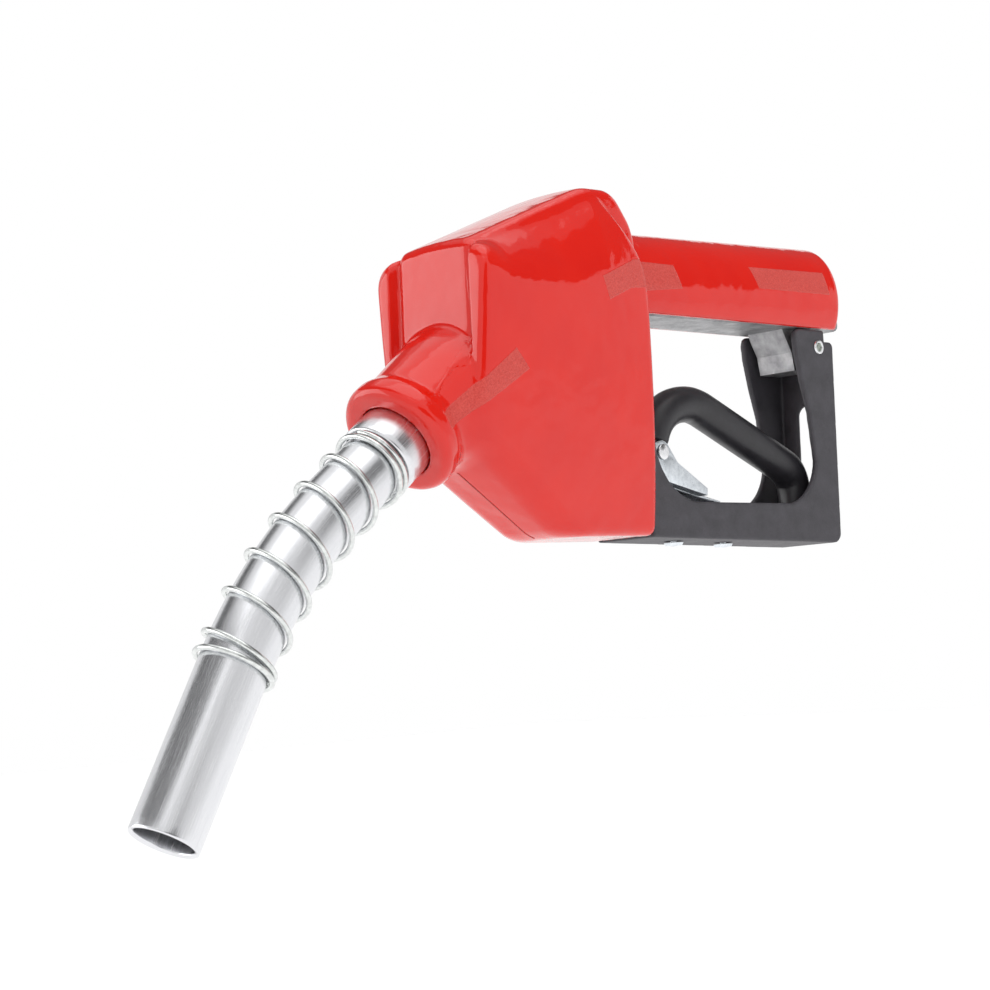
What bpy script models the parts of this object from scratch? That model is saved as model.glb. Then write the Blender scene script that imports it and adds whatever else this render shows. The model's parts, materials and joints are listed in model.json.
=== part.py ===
"""Automatic fuel dispensing nozzle, modelled as an assembly of separate pieces.

Lengths are in millimetres and are turned into metres when a mesh is made.
The origin is the centre of the hose inlet face, +X is the way the hose leaves,
+Z is up, and the nozzle is symmetric about Y = 0. The spout points to -X.
"""

import math

import bmesh
import bpy
from mathutils import Matrix, Vector

MM = 0.001
GAP = 0.4

# ---- driving dimensions, in millimetres and degrees ----
COVER_WALL = 2.7
CORNER_RADIUS = 4.0
HANDLE_LENGTH = 136.0
HANDLE_FLOOR = -17.5
HANDLE_HALF_WIDTH_REAR = 18.0
HANDLE_HALF_WIDTH_FRONT = 16.0
HANDLE_TOP_REAR = 19.0
HANDLE_TOP_FRONT = 15.5
HEAD_REAR = -130.0
HEAD_FRONT = -219.0
HEAD_BOTTOM = -102.5
CASTING_BOTTOM = -70.0

SPOUT_RADIUS = 11.9
SPOUT_BORE = 10.2
SPOUT_TIP_ANGLE = 59.3
COLLAR_ANGLE = 37.0
COLLAR_MOUTH = Vector((-240.0, 0.0, -66.0))
SPOUT_APEX_DISTANCE = 74.9
SPOUT_TIP_LENGTH = 97.2
SPOUT_TANGENT = 38.0
COLLAR_RADIUS = 22.0
COLLAR_WAIST_RADIUS = 20.3
COLLAR_BORE = 14.4
SOCKET_DEPTH = 34.0
FERRULE_RADIUS = 14.1
FERRULE_PROUD = 11.5
COIL_RADIUS = 13.45
COIL_WIRE = 1.0
COIL_PITCH = 14.9
COIL_OPEN_TURNS = 6
COIL_CLOSED_TURNS = 1.25
COIL_CLOSED_PITCH = 2.3

VALVE_X = -150.0
VALVE_BORE = 11.0
VALVE_SEAT_Z = -24.0
STEM_RADIUS = 3.0
STEM_END_Z = -85.7
PLUNGER_X = -178.0
PLUNGER_ROD_RADIUS = 3.0
PLUNGER_BORE = 7.0
PIVOT_Z = -86.0
PASSAGE_Z = -37.0
DIAPHRAGM_RADIUS = 13.0

GUARD_HALF_WIDTH = 14.5
GUARD_WALL = 2.5
LEVER_RADIUS = 8.3
CLIP_PIVOT = (-110.0, -69.7)
GUARD_PIN = (-14.1, -25.0)
GUARD_PIN_RADIUS = 3.2
RACK_SCREW_X = (-97.9, -67.7)
GUARD_SCREWS = ((-166.0, -63.0), (-142.0, -63.0))

BALL_STEPS = 8
ROUND_STEPS = 28
SMALL_STEPS = 16


# ---- basic tools ----
def clear_scene():
    for old in list(bpy.data.objects):
        bpy.data.objects.remove(old, do_unlink=True)


def material(name, colour, metallic, roughness):
    mat = bpy.data.materials.get(name)
    if mat is None:
        mat = bpy.data.materials.new(name)
        mat.use_nodes = True
        shader = mat.node_tree.nodes["Principled BSDF"]
        shader.inputs["Base Color"].default_value = (*colour, 1.0)
        shader.inputs["Metallic"].default_value = metallic
        shader.inputs["Roughness"].default_value = roughness
        mat.diffuse_color = (*colour, 1.0)
    return mat


def red_vinyl():
    return material("red_vinyl", (0.70, 0.02, 0.01), 0.0, 0.15)


def cast_aluminium():
    return material("cast_aluminium", (0.55, 0.55, 0.56), 1.0, 0.45)


def polished_aluminium():
    return material("polished_aluminium", (0.82, 0.82, 0.84), 1.0, 0.18)


def zinc_steel():
    return material("zinc_steel", (0.72, 0.74, 0.78), 1.0, 0.3)


def spring_steel():
    return material("spring_steel", (0.6, 0.6, 0.62), 1.0, 0.25)


def brass():
    return material("brass", (0.78, 0.57, 0.25), 1.0, 0.3)


def black_plastic():
    return material("black_plastic", (0.035, 0.034, 0.036), 0.0, 0.55)


def black_coating():
    return material("black_coating", (0.02, 0.02, 0.021), 0.0, 0.4)


def seal_rubber():
    return material("seal_rubber", (0.03, 0.03, 0.03), 0.0, 0.7)


def finish_object(name, bm, mat, pivot=None):
    """Turns millimetre geometry into an object whose origin is at pivot."""
    bmesh.ops.remove_doubles(bm, verts=bm.verts, dist=0.001)
    bmesh.ops.recalc_face_normals(bm, faces=bm.faces)
    origin = Vector(pivot) * MM if pivot else Vector()
    bmesh.ops.scale(bm, vec=(MM, MM, MM), verts=bm.verts)
    bmesh.ops.translate(bm, vec=-origin, verts=bm.verts)
    mesh = bpy.data.meshes.new(name)
    bm.to_mesh(mesh)
    bm.free()
    mesh.shade_smooth()
    mesh.set_sharp_from_angle(angle=math.radians(35))
    obj = bpy.data.objects.new(name, mesh)
    obj.location = origin
    bpy.context.scene.collection.objects.link(obj)
    mesh.materials.append(mat)
    return obj


def apply_modifiers(obj):
    graph = bpy.context.evaluated_depsgraph_get()
    mesh = bpy.data.meshes.new_from_object(obj.evaluated_get(graph))
    obj.modifiers.clear()
    obj.data = mesh


def triangulate(obj):
    bm = bmesh.new()
    bm.from_mesh(obj.data)
    bmesh.ops.dissolve_degenerate(bm, edges=bm.edges, dist=1e-6)
    bmesh.ops.triangulate(bm, faces=bm.faces)
    bm.to_mesh(obj.data)
    bm.free()


def boolean(obj, cutters, operation):
    """Cuts or joins each cutter in turn, then removes it."""
    for cutter in cutters:
        triangulate(obj)
        triangulate(cutter)
        step = obj.modifiers.new(operation.title(), "BOOLEAN")
        step.operation = operation
        step.solver = "EXACT"
        step.object = cutter
        bpy.context.view_layer.update()
        apply_modifiers(obj)
        bpy.data.objects.remove(cutter, do_unlink=True)
    obj.data.shade_smooth()
    obj.data.set_sharp_from_angle(angle=math.radians(35))
    return obj


def cut(obj, *cutters):
    return boolean(obj, cutters, "DIFFERENCE")


def join(obj, *others):
    return boolean(obj, others, "UNION")


def tidy_mesh(obj):
    """Merges the slivers that exact cuts leave on flat faces."""
    bm = bmesh.new()
    bm.from_mesh(obj.data)
    bmesh.ops.remove_doubles(bm, verts=bm.verts, dist=3e-5)
    bmesh.ops.dissolve_degenerate(bm, edges=bm.edges, dist=2e-5)
    bmesh.ops.dissolve_limit(bm, angle_limit=0.01, verts=bm.verts, edges=bm.edges)
    bmesh.ops.triangulate(bm, faces=bm.faces)
    bm.to_mesh(obj.data)
    bm.free()
    return obj


# ---- shapes ----
def add_box(bm, low, high):
    made = bmesh.ops.create_cube(bm, size=1.0)["verts"]
    size = [b - a for a, b in zip(low, high)]
    centre = [(a + b) / 2 for a, b in zip(low, high)]
    bmesh.ops.scale(bm, vec=size, verts=made)
    bmesh.ops.translate(bm, vec=centre, verts=made)


def box(name, low, high, mat=None):
    bm = bmesh.new()
    add_box(bm, low, high)
    return finish_object(name, bm, mat or cast_aluminium())


def arc(centre, radius, start, end, steps):
    """Points of an arc in the XZ plane, angles in degrees."""
    turns = [start + (end - start) * i / steps for i in range(steps + 1)]
    return [
        (centre[0] + radius * math.cos(math.radians(a)), centre[1] + radius * math.sin(math.radians(a)))
        for a in turns
    ]


def add_prism(bm, outline, y_low, y_high):
    """Extrudes an XZ outline along Y."""
    near = [bm.verts.new((x, y_low, z)) for x, z in outline]
    face = bm.faces.new(near)
    made = bmesh.ops.extrude_face_region(bm, geom=[face])["geom"]
    moved = [item for item in made if isinstance(item, bmesh.types.BMVert)]
    bmesh.ops.translate(bm, vec=(0, y_high - y_low, 0), verts=moved)


def prism(name, outline, y_low, y_high, mat=None, pivot=None):
    bm = bmesh.new()
    add_prism(bm, outline, y_low, y_high)
    return finish_object(name, bm, mat or cast_aluminium(), pivot)


def axis_matrix(origin, direction):
    """A matrix whose Z axis runs along direction from origin."""
    turn = Vector((0, 0, 1)).rotation_difference(Vector(direction).normalized())
    return Matrix.Translation(Vector(origin)) @ turn.to_matrix().to_4x4()


def add_turned(bm, profile, origin=(0, 0, 0), direction=(0, 0, 1), steps=ROUND_STEPS):
    """Revolves a closed (radius, height) outline; points on the axis become one vertex."""
    place = axis_matrix(origin, direction)
    rings = []
    for radius, height in profile:
        if radius < 1e-6:
            rings.append([bm.verts.new(place @ Vector((0, 0, height)))])
            continue
        ring = []
        for i in range(steps):
            angle = math.tau * i / steps
            point = Vector((radius * math.cos(angle), radius * math.sin(angle), height))
            ring.append(bm.verts.new(place @ point))
        rings.append(ring)
    for a, b in zip(rings, rings[1:] + rings[:1]):
        for i in range(steps):
            j = (i + 1) % steps
            corners = [a[i % len(a)], a[j % len(a)], b[j % len(b)], b[i % len(b)]]
            unique = list(dict.fromkeys(corners))
            if len(unique) > 2:
                bm.faces.new(unique)


def turned(name, profile, origin=(0, 0, 0), direction=(0, 0, 1), steps=ROUND_STEPS, mat=None, pivot=None):
    bm = bmesh.new()
    add_turned(bm, profile, origin, direction, steps)
    return finish_object(name, bm, mat or cast_aluminium(), pivot)


def rod(radius, low, high):
    return [(0, low), (radius, low), (radius, high), (0, high)]


def sleeve(outer, inner, low, high):
    return [(inner, low), (outer, low), (outer, high), (inner, high)]


def add_sweep(bm, centres, radii, steps, start_angle=0.0):
    """A closed round bar along a path that stays near the XZ plane."""
    rings = []
    side = Vector((0, 1, 0))
    for i, (centre, radius) in enumerate(zip(centres, radii)):
        ahead = centres[min(i + 1, len(centres) - 1)]
        behind = centres[max(i - 1, 0)]
        tangent = (ahead - behind).normalized()
        normal = side.cross(tangent).normalized()
        across = tangent.cross(normal)
        ring = []
        for k in range(steps):
            angle = math.tau * k / steps + start_angle
            offset = radius * (math.cos(angle) * normal + math.sin(angle) * across)
            ring.append(bm.verts.new(centre + offset))
        rings.append(ring)
    for a, b in zip(rings, rings[1:]):
        for k in range(steps):
            m = (k + 1) % steps
            bm.faces.new((a[k], a[m], b[m], b[k]))
    bm.faces.new(rings[0])
    bm.faces.new(list(reversed(rings[-1])))


def add_coil(bm, centres, radials, wire, steps):
    """A closed wire through centres; radials point out from the coil's axis."""
    rings = []
    for i, (centre, radial) in enumerate(zip(centres, radials)):
        ahead = centres[min(i + 1, len(centres) - 1)]
        behind = centres[max(i - 1, 0)]
        tangent = (ahead - behind).normalized()
        across = tangent.cross(radial).normalized()
        ring = []
        for k in range(steps):
            angle = math.tau * k / steps
            offset = wire * (math.cos(angle) * radial + math.sin(angle) * across)
            ring.append(bm.verts.new(centre + offset))
        rings.append(ring)
    for a, b in zip(rings, rings[1:]):
        for k in range(steps):
            m = (k + 1) % steps
            bm.faces.new((a[k], a[m], b[m], b[k]))
    bm.faces.new(rings[0])
    bm.faces.new(list(reversed(rings[-1])))


def straight_spring(name, origin, direction, length, radius, wire, turns, steps_per_turn=12):
    """A compression spring with a closed turn at each end."""
    place = axis_matrix(origin, direction)
    total = turns * steps_per_turn
    closed = steps_per_turn
    closed_rise = 2.3 * wire
    open_rise = (length - 2 * wire - 2 * closed_rise) / (turns - 2)
    height = wire
    centres = []
    radials = []
    for i in range(total + 1):
        angle = math.tau * i / steps_per_turn
        radial = Vector((math.cos(angle), math.sin(angle), 0))
        centres.append(place @ (radius * radial + Vector((0, 0, height))))
        radials.append(place.to_3x3() @ radial)
        rise = closed_rise if i < closed or i >= total - closed else open_rise
        height += rise / steps_per_turn
    bm = bmesh.new()
    add_coil(bm, centres, radials, wire, 5)
    return finish_object(name, bm, spring_steel())


def ball_points(centre, radius):
    """Points of a ball, as a few rings and two poles."""
    points = [Vector(centre) + Vector((0, 0, radius)), Vector(centre) - Vector((0, 0, radius))]
    for tilt in (-45, 0, 45):
        ring_radius = radius * math.cos(math.radians(tilt))
        height = radius * math.sin(math.radians(tilt))
        for k in range(BALL_STEPS):
            angle = math.tau * k / BALL_STEPS
            points.append(Vector(centre) + Vector((
                ring_radius * math.cos(angle), ring_radius * math.sin(angle), height)))
    return points


def add_hull(bm, points):
    made = [bm.verts.new(p) for p in points]
    result = bmesh.ops.convex_hull(bm, input=made)
    inside = [v for v in result["geom_interior"] if isinstance(v, bmesh.types.BMVert)]
    bmesh.ops.delete(bm, geom=inside, context="VERTS")


def corner_hull(name, corners, inset, radius=CORNER_RADIUS):
    """The convex body round mirrored corners, drawn in by inset from the outer skin."""
    ball = radius - inset
    points = []
    for x, half_width, z in corners:
        for side in (-1, 1):
            points += ball_points((x, side * (half_width - radius), z), ball)
    bm = bmesh.new()
    add_hull(bm, points)
    return finish_object(name, bm, red_vinyl())


# ---- spout path ----
def direction_at(angle):
    return Vector((math.cos(math.radians(angle)), 0, math.sin(math.radians(angle))))


COLLAR_OUT = -direction_at(COLLAR_ANGLE)
SPOUT_APEX = COLLAR_MOUTH + COLLAR_OUT * SPOUT_APEX_DISTANCE
BEND = SPOUT_TIP_ANGLE - COLLAR_ANGLE
BEND_RADIUS = SPOUT_TANGENT / math.tan(math.radians(BEND / 2))
TIP_STRAIGHT = SPOUT_TIP_LENGTH - SPOUT_TANGENT
BEND_LENGTH = BEND_RADIUS * math.radians(BEND)


def spout_point(s):
    """Position and tangent (towards the body) at distance s from the spout's tip."""
    tip = SPOUT_APEX - direction_at(SPOUT_TIP_ANGLE) * SPOUT_TIP_LENGTH
    if s <= TIP_STRAIGHT:
        return tip + direction_at(SPOUT_TIP_ANGLE) * s, direction_at(SPOUT_TIP_ANGLE)
    start = tip + direction_at(SPOUT_TIP_ANGLE) * TIP_STRAIGHT
    turned_by = min((s - TIP_STRAIGHT) / BEND_LENGTH, 1.0) * BEND
    angle = SPOUT_TIP_ANGLE - turned_by
    inward = Vector((math.sin(math.radians(SPOUT_TIP_ANGLE)), 0, -math.cos(math.radians(SPOUT_TIP_ANGLE))))
    centre = start + inward * BEND_RADIUS
    out = Vector((-math.sin(math.radians(angle)), 0, math.cos(math.radians(angle))))
    point = centre + out * BEND_RADIUS
    past = max(s - TIP_STRAIGHT - BEND_LENGTH, 0.0)
    return point + direction_at(angle) * past, direction_at(angle)


MOUTH_S = TIP_STRAIGHT + BEND_LENGTH + SPOUT_APEX_DISTANCE - SPOUT_TANGENT


def spout_stations(start, end, bend_steps=9):
    """Distances along the spout that its shape needs."""
    inner = [TIP_STRAIGHT + BEND_LENGTH * i / bend_steps for i in range(bend_steps + 1)]
    return [start] + [s for s in inner if start < s < end] + [end]


def add_spout_tube(bm, outer, bore, start, end, steps=ROUND_STEPS, drop=0.0):
    """A tube that follows the spout; drop moves it towards the outer side of the bend."""
    rings = []
    for s in spout_stations(start, end):
        point, tangent = spout_point(s)
        normal = Vector((-tangent.z, 0, tangent.x))
        centre = point - normal * drop
        for radius in (outer, bore):
            ring = []
            for k in range(steps):
                angle = math.tau * k / steps
                offset = radius * (math.cos(angle) * normal + math.sin(angle) * Vector((0, 1, 0)))
                ring.append(bm.verts.new(centre + offset))
            rings.append(ring)
    outers = rings[0::2]
    inners = rings[1::2]
    for walls in (outers, inners):
        for a, b in zip(walls, walls[1:]):
            for k in range(steps):
                m = (k + 1) % steps
                bm.faces.new((a[k], a[m], b[m], b[k]))
    for outer_ring, inner_ring in ((outers[0], inners[0]), (outers[-1], inners[-1])):
        for k in range(steps):
            m = (k + 1) % steps
            bm.faces.new((outer_ring[k], outer_ring[m], inner_ring[m], inner_ring[k]))


# ---- cover and casting ----
TOP_BLOCK = (
    (HEAD_FRONT + 5, 18.5, -1.0), (HEAD_FRONT + 4, 19.0, -44.0), (-172.0, 18.0, 17.0),
    (-155.0, 18.0, 23.5), (-143.0, 18.0, 23.5), (-135.0, 18.0, 8.0), (-135.0, 18.0, -44.0),
)
TOP_CROWN = ((-186.0, 8.0, 12.8), (-155.0, 8.0, 24.6), (-146.0, 8.0, 24.6))
CHEEKS = (
    (HEAD_FRONT + 4.5, 29.0, -7.5), (HEAD_FRONT + 4.5, 27.5, -30.0), (HEAD_FRONT + 2.5, 23.5, -66.0),
    (-176.0, 17.6, HEAD_BOTTOM + 4), (-130.0, 17.6, HEAD_BOTTOM + 4), (-135.0, 26.0, -26.0),
    (-136.0, 26.0, -5.0), (-146.0, 28.0, 7.0), (-176.0, 29.0, 1.0),
)


def handle_ring(x, inset, low):
    """The handle's section at x: round on top, flat at low, drawn in by inset."""
    part = -x / HANDLE_LENGTH
    half = HANDLE_HALF_WIDTH_REAR + (HANDLE_HALF_WIDTH_FRONT - HANDLE_HALF_WIDTH_REAR) * part - inset
    top = HANDLE_TOP_REAR + (HANDLE_TOP_FRONT - HANDLE_TOP_REAR) * part - inset
    shoulder = top - half
    corner = 2.0
    points = [(half * math.cos(math.radians(a)), shoulder + half * math.sin(math.radians(a)))
              for a in range(0, 181, 15)]
    for centre, first in ((-half + corner, 180), (half - corner, 270)):
        points += [(centre + corner * math.cos(math.radians(first + a)),
                    low + corner + corner * math.sin(math.radians(first + a))) for a in (0, 30, 60, 90)]
    return [Vector((x, y, z)) for y, z in points]


def handle_hull(name, inset, rear_x, rounding, low):
    """The handle as a tapered body; rounding draws its rear rim in."""
    points = handle_ring(-HANDLE_LENGTH, inset, low) + handle_ring(rear_x - rounding, inset, low)
    for step in (30, 60, 90):
        back = rounding * math.sin(math.radians(step))
        inward = rounding * (1 - math.cos(math.radians(step)))
        points += handle_ring(rear_x - rounding + back, inset + inward, low)
    bm = bmesh.new()
    add_hull(bm, points)
    return finish_object(name, bm, red_vinyl())


def collar_body(name, inset, front):
    """The round neck that holds the spout; the cover's version ends in a thick lip."""
    wall = COLLAR_RADIUS - inset
    waist = COLLAR_WAIST_RADIUS - inset
    if inset > COVER_WALL / 2:
        profile = [(0, front), (waist, front), (waist, -14.0), (wall, -26.0), (wall, -52.0), (0, -52.0)]
    else:
        lip = [(wall - 3.5 + 3.5 * math.cos(math.radians(a)), -3.5 + 3.5 * math.sin(math.radians(a)))
               for a in (90, 60, 30, 0, -30)]
        profile = [(0, front)] + lip + [(waist, -9.0), (waist, -13.0), (wall, -26.0), (wall, -52.0), (0, -52.0)]
    return turned(name, profile, COLLAR_MOUTH, COLLAR_OUT, mat=red_vinyl())


def body_shape(name, inset, handle_rear, rounding, handle_low, collar_front):
    shape = corner_hull(name, TOP_BLOCK, inset)
    crown = corner_hull(name + "_crown", TOP_CROWN + TOP_BLOCK[:2], inset)
    cheeks = corner_hull(name + "_cheeks", CHEEKS, inset)
    handle = handle_hull(name + "_handle", inset, handle_rear, rounding, handle_low)
    collar = collar_body(name + "_collar", inset, collar_front)
    return join(shape, crown, cheeks, handle, collar)


def make_cover():
    outer = body_shape("hand_cover", 0.0, 0.0, 2.0, HANDLE_FLOOR - 4.0, 0.0)
    inner = body_shape("cover_inside", COVER_WALL, 8.0, 0.0, HANDLE_FLOOR - 8.0, -3.0 + GAP)
    below_handle = box("below_handle", (-128.0, -40, -40), (20, 40, HANDLE_FLOOR))
    rear_window = box("rear_window", (-150.0, -GUARD_HALF_WIDTH - 0.5, -99.5),
                      (-110.0, GUARD_HALF_WIDTH + 0.5, HANDLE_FLOOR))
    floor_notch = box("floor_notch", (-126.5, -40, -120), (-110.0, 40, -98.0))
    mouth = turned("mouth", rod(15.3, -60.0, 20.0), COLLAR_MOUTH, COLLAR_OUT)
    return tidy_mesh(cut(outer, inner, below_handle, rear_window, floor_notch, mouth))


def lug_block():
    lug = prism("lug", [(-33.5, -12.0), (-29.0, -21.0), (-25.5, -27.0), (-24.3, -34.4),
                        (-10.5, -34.4), (-10.0, -12.0)], -9.0, 9.0)
    return lug


def passage_cutters():
    """The fuel way: hose thread, handle bore, valve chamber, cross passage and spout socket."""
    thread = turned("thread", rod(12.8, -18.0, 6.0), (0, 0, 0), (1, 0, 0))
    bore = turned("bore", rod(8.6, -152.0, -16.0), (0, 0, 0), (1, 0, 0))
    chamber = turned("chamber", rod(VALVE_BORE, VALVE_SEAT_Z - 2.5, 40.0), (VALVE_X, 0, 0))
    below_seat = turned("below_seat", rod(8.0, PASSAGE_Z - 10.0, VALVE_SEAT_Z), (VALVE_X, 0, 0))
    cross = prism("cross", [(-206.0, PASSAGE_Z - 8.0), (-144.3, PASSAGE_Z - 9.0), (-144.3, PASSAGE_Z + 8.0),
                            (-196.0, PASSAGE_Z + 8.6)], -12.6, 12.6)
    socket = turned("socket", rod(COLLAR_BORE, -SOCKET_DEPTH, 20.0), COLLAR_MOUTH, COLLAR_OUT)
    throat = turned("throat", rod(9.5, -60.0, -SOCKET_DEPTH + 2.0), COLLAR_MOUTH, COLLAR_OUT)
    return thread, bore, chamber, below_seat, cross, socket, throat


def mechanism_cutters():
    """Stem, packing, plunger and diaphragm bores, and the holes for screws and the rivet."""
    stem = turned("stem_bore", rod(STEM_RADIUS + GAP, -80.0, PASSAGE_Z - 5.0), (VALVE_X, 0, 0), steps=SMALL_STEPS)
    packing = turned("packing_bore", rod(6.3, -80.0, -58.0), (VALVE_X, 0, 0), steps=20)
    plunger = turned("plunger_bore", rod(PLUNGER_BORE, -66.0, -1.0), (PLUNGER_X, 0, 0), steps=20)
    plunger_exit = turned("plunger_exit", rod(PLUNGER_ROD_RADIUS + GAP, -80.0, -60.0), (PLUNGER_X, 0, 0),
                          steps=20)
    diaphragm = turned("diaphragm_bore", rod(DIAPHRAGM_RADIUS, -3.0, 40.0), (PLUNGER_X, 0, 0))
    rivet = turned("rivet_hole", rod(GUARD_PIN_RADIUS + GAP, -20.0, 20.0), (GUARD_PIN[0], 0, GUARD_PIN[1]),
                   (0, 1, 0), SMALL_STEPS)
    screws = [turned("guard_screw_hole", rod(2.1, 6.5, 27.5), (x, 0, z), (0, side, 0), 12)
              for x, z in GUARD_SCREWS for side in (-1, 1)]
    return [stem, packing, plunger, plunger_exit, diaphragm, rivet] + screws


def make_casting():
    body = body_shape("body_casting", COVER_WALL + GAP + 0.15, 0.0, 0.5, HANDLE_FLOOR, -3.0)
    below = box("below_casting", (-212, -60, -130), (-120, 60, CASTING_BOTTOM))
    pockets = [box("plate_pocket", (-176.0, y, -90.0), (-110.0, y + 40.0, -56.5))
               for y in (GUARD_HALF_WIDTH - GUARD_WALL - GAP, -GUARD_HALF_WIDTH + GUARD_WALL + GAP - 40.0)]
    cut(body, below, *pockets)
    join(body, lug_block())
    cut(body, *passage_cutters())
    column = turned("column", rod(9.3, PASSAGE_Z - 16.0, PASSAGE_Z + 16.0), (PLUNGER_X, 0, 0), steps=20)
    join(body, column)
    cut(body, *mechanism_cutters())
    return tidy_mesh(body)


# ---- valve train ----
def make_inlet_strainer():
    """A thimble that stands in the handle bore on a flange at the thread's end."""
    profile = [(7.2, -1.5), (10.5, -1.5), (10.5, 0), (8.1, 0), (8.1, 14.0), (0, 16.5), (0, 15.6), (7.2, 13.4)]
    return turned("inlet_strainer", profile, (-17.5, 0, 0), (-1, 0, 0), mat=brass())


def make_inlet_seal():
    return turned("inlet_seal", sleeve(12.3, 7.5, 0.0, 2.0), (-15.5, 0, 0), (1, 0, 0), mat=seal_rubber())


def make_valve_cap():
    """Threaded plug that closes the main valve from above, with a driving slot."""
    cap = turned("valve_cap", [(0, 12.0), (4.5, 12.0), (4.5, 9.0), (VALVE_BORE - GAP, 9.0),
                               (VALVE_BORE - GAP, 16.5), (0, 16.5)], (VALVE_X, 0, 0), mat=brass())
    return cut(cap, box("slot", (VALVE_X - 8, -1.2, 15.0), (VALVE_X + 8, 1.2, 20.0)))


def make_valve_seat():
    profile = [(8.0, -26.2), (VALVE_BORE - GAP, -26.2), (VALVE_BORE - GAP, -22.0), (9.0, -22.0), (8.0, -23.0)]
    return turned("valve_seat", profile, (VALVE_X, 0, 0), mat=brass())


def make_main_poppet():
    profile = [(0, -18.9), (9.8, -18.9), (9.8, -15.5), (3.6, -15.5), (3.6, -10.5), (0, -10.5)]
    return turned("main_poppet", profile, (VALVE_X, 0, 0), steps=24, mat=brass())


def make_poppet_seal():
    return turned("poppet_seal", sleeve(9.8, STEM_RADIUS + 0.8, -21.7, -19.3), (VALVE_X, 0, 0), steps=24,
                  mat=seal_rubber())


def make_valve_stem():
    return turned("valve_stem", [(0, STEM_END_Z), (1.0, STEM_END_Z), (STEM_RADIUS, STEM_END_Z + 2.0),
                                    (STEM_RADIUS, -19.3), (0, -19.3)], (VALVE_X, 0, 0),
                  steps=SMALL_STEPS, mat=polished_aluminium())


def make_main_spring():
    return straight_spring("main_spring", (VALVE_X, 0, -15.1), (0, 0, 1), 23.7, 6.4, 0.8, 6)


def make_packing_seal():
    return turned("packing_seal", sleeve(6.0, STEM_RADIUS + GAP, -62.0, -58.3), (VALVE_X, 0, 0), steps=20,
                  mat=seal_rubber())


def make_packing_nut():
    hexagon = [(VALVE_X + 8.0 * math.cos(math.radians(a)), 8.0 * math.sin(math.radians(a)))
               for a in range(0, 360, 60)]
    bm = bmesh.new()
    face = bm.faces.new([bm.verts.new((x, y, -74.5)) for x, y in hexagon])
    made = bmesh.ops.extrude_face_region(bm, geom=[face])["geom"]
    bmesh.ops.translate(bm, vec=(0, 0, 4.2), verts=[v for v in made if isinstance(v, bmesh.types.BMVert)])
    nut = finish_object("packing_nut", bm, brass())
    join(nut, turned("nut_thread", rod(6.0, -72.0, -62.3), (VALVE_X, 0, 0), steps=20))
    bore = turned("nut_bore", rod(STEM_RADIUS + GAP, -80.0, -50.0), (VALVE_X, 0, 0), steps=SMALL_STEPS)
    return cut(nut, bore)


# ---- automatic shut-off ----
def make_latch_plunger():
    profile = [(0, -84.0), (PLUNGER_ROD_RADIUS, -84.0), (PLUNGER_ROD_RADIUS, -24.0), (6.6, -24.0),
               (6.6, -8.0), (2.3, -8.0), (2.3, -20.0), (0, -20.0)]
    rod_part = turned("latch_plunger", profile, (PLUNGER_X, 0, 0), steps=20, mat=zinc_steel())
    foot = prism("foot", arc((PLUNGER_X, PIVOT_Z), 4.0, 180, 360, 8) + [
        (PLUNGER_X + 4.0, -81.0), (PLUNGER_X - 4.0, -81.0)], -3.6, 3.6)
    join(rod_part, foot)
    pin_hole = turned("pin_hole", rod(2.3, -10, 10), (PLUNGER_X, 0, PIVOT_Z), (0, 1, 0), 12)
    pockets = turned("roller_way", rod(1.5, -10, 10), (PLUNGER_X, 0, -13.0), (0, 1, 0), 12)
    return cut(rod_part, pin_hole, pockets)


def make_latch_rollers():
    """Two short rollers that the latch pin holds out while the vent is clear."""
    for side, name in ((-1, "latch_roller_near"), (1, "latch_roller_far")):
        turned(name, rod(1.2, 2.4, 6.4), (PLUNGER_X, 0, -13.0), (0, side, 0), 12, zinc_steel())


def make_plunger_spring():
    return straight_spring("plunger_spring", (PLUNGER_X, 0, -65.7), (0, 0, 1), 41.4, 5.2, 0.7, 9, 10)


def make_latch_pin():
    profile = [(0, -18.0), (1.9, -18.0), (1.9, -1.2), (6.4, -1.2), (6.4, 0.3), (2.6, 0.3), (2.6, 3.0), (0, 3.0)]
    return turned("latch_pin", profile, (PLUNGER_X, 0, 0), steps=SMALL_STEPS, mat=zinc_steel())


def make_diaphragm():
    profile = [(6.9, -1.9), (DIAPHRAGM_RADIUS - GAP, -2.6), (DIAPHRAGM_RADIUS - GAP, -1.8), (6.9, -1.1)]
    return turned("diaphragm", profile, (PLUNGER_X, 0, 0), mat=seal_rubber())


def make_diaphragm_spring():
    return straight_spring("diaphragm_spring", (PLUNGER_X, 0, 0.6), (0, 0, 1), 5.9, 4.0, 0.45, 5, 10)


def make_diaphragm_cap():
    radius = DIAPHRAGM_RADIUS - GAP
    profile = [(0, 9.0), (6.0, 9.0), (6.0, 7.0), (9.5, 7.0), (9.5, -1.0), (radius, -1.0), (radius, 10.2),
               (0, 10.2)]
    cap = turned("diaphragm_cap", profile, (PLUNGER_X, 0, 0), mat=cast_aluminium())
    holes = [turned("cap_hole", rod(1.1, -5, 30), (PLUNGER_X + 11.05 * x, 11.05 * y, 0), (0, 0, 1), 8)
             for x, y in CAP_SCREWS]
    return cut(cap, *holes)


CAP_SCREWS = [(math.cos(math.radians(a)), math.sin(math.radians(a))) for a in (45, 135, 225, 315)]


def make_cap_screws():
    profile = [(0, -0.6), (0.7, -0.6), (0.7, 10.6), (1.35, 10.6), (1.35, 11.4), (0, 11.4)]
    for i, (x, y) in enumerate(CAP_SCREWS, 1):
        turned(f"cap_screw_{i}", profile, (PLUNGER_X + 11.05 * x, 11.05 * y, 0), (0, 0, 1), 8, zinc_steel())


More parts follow.
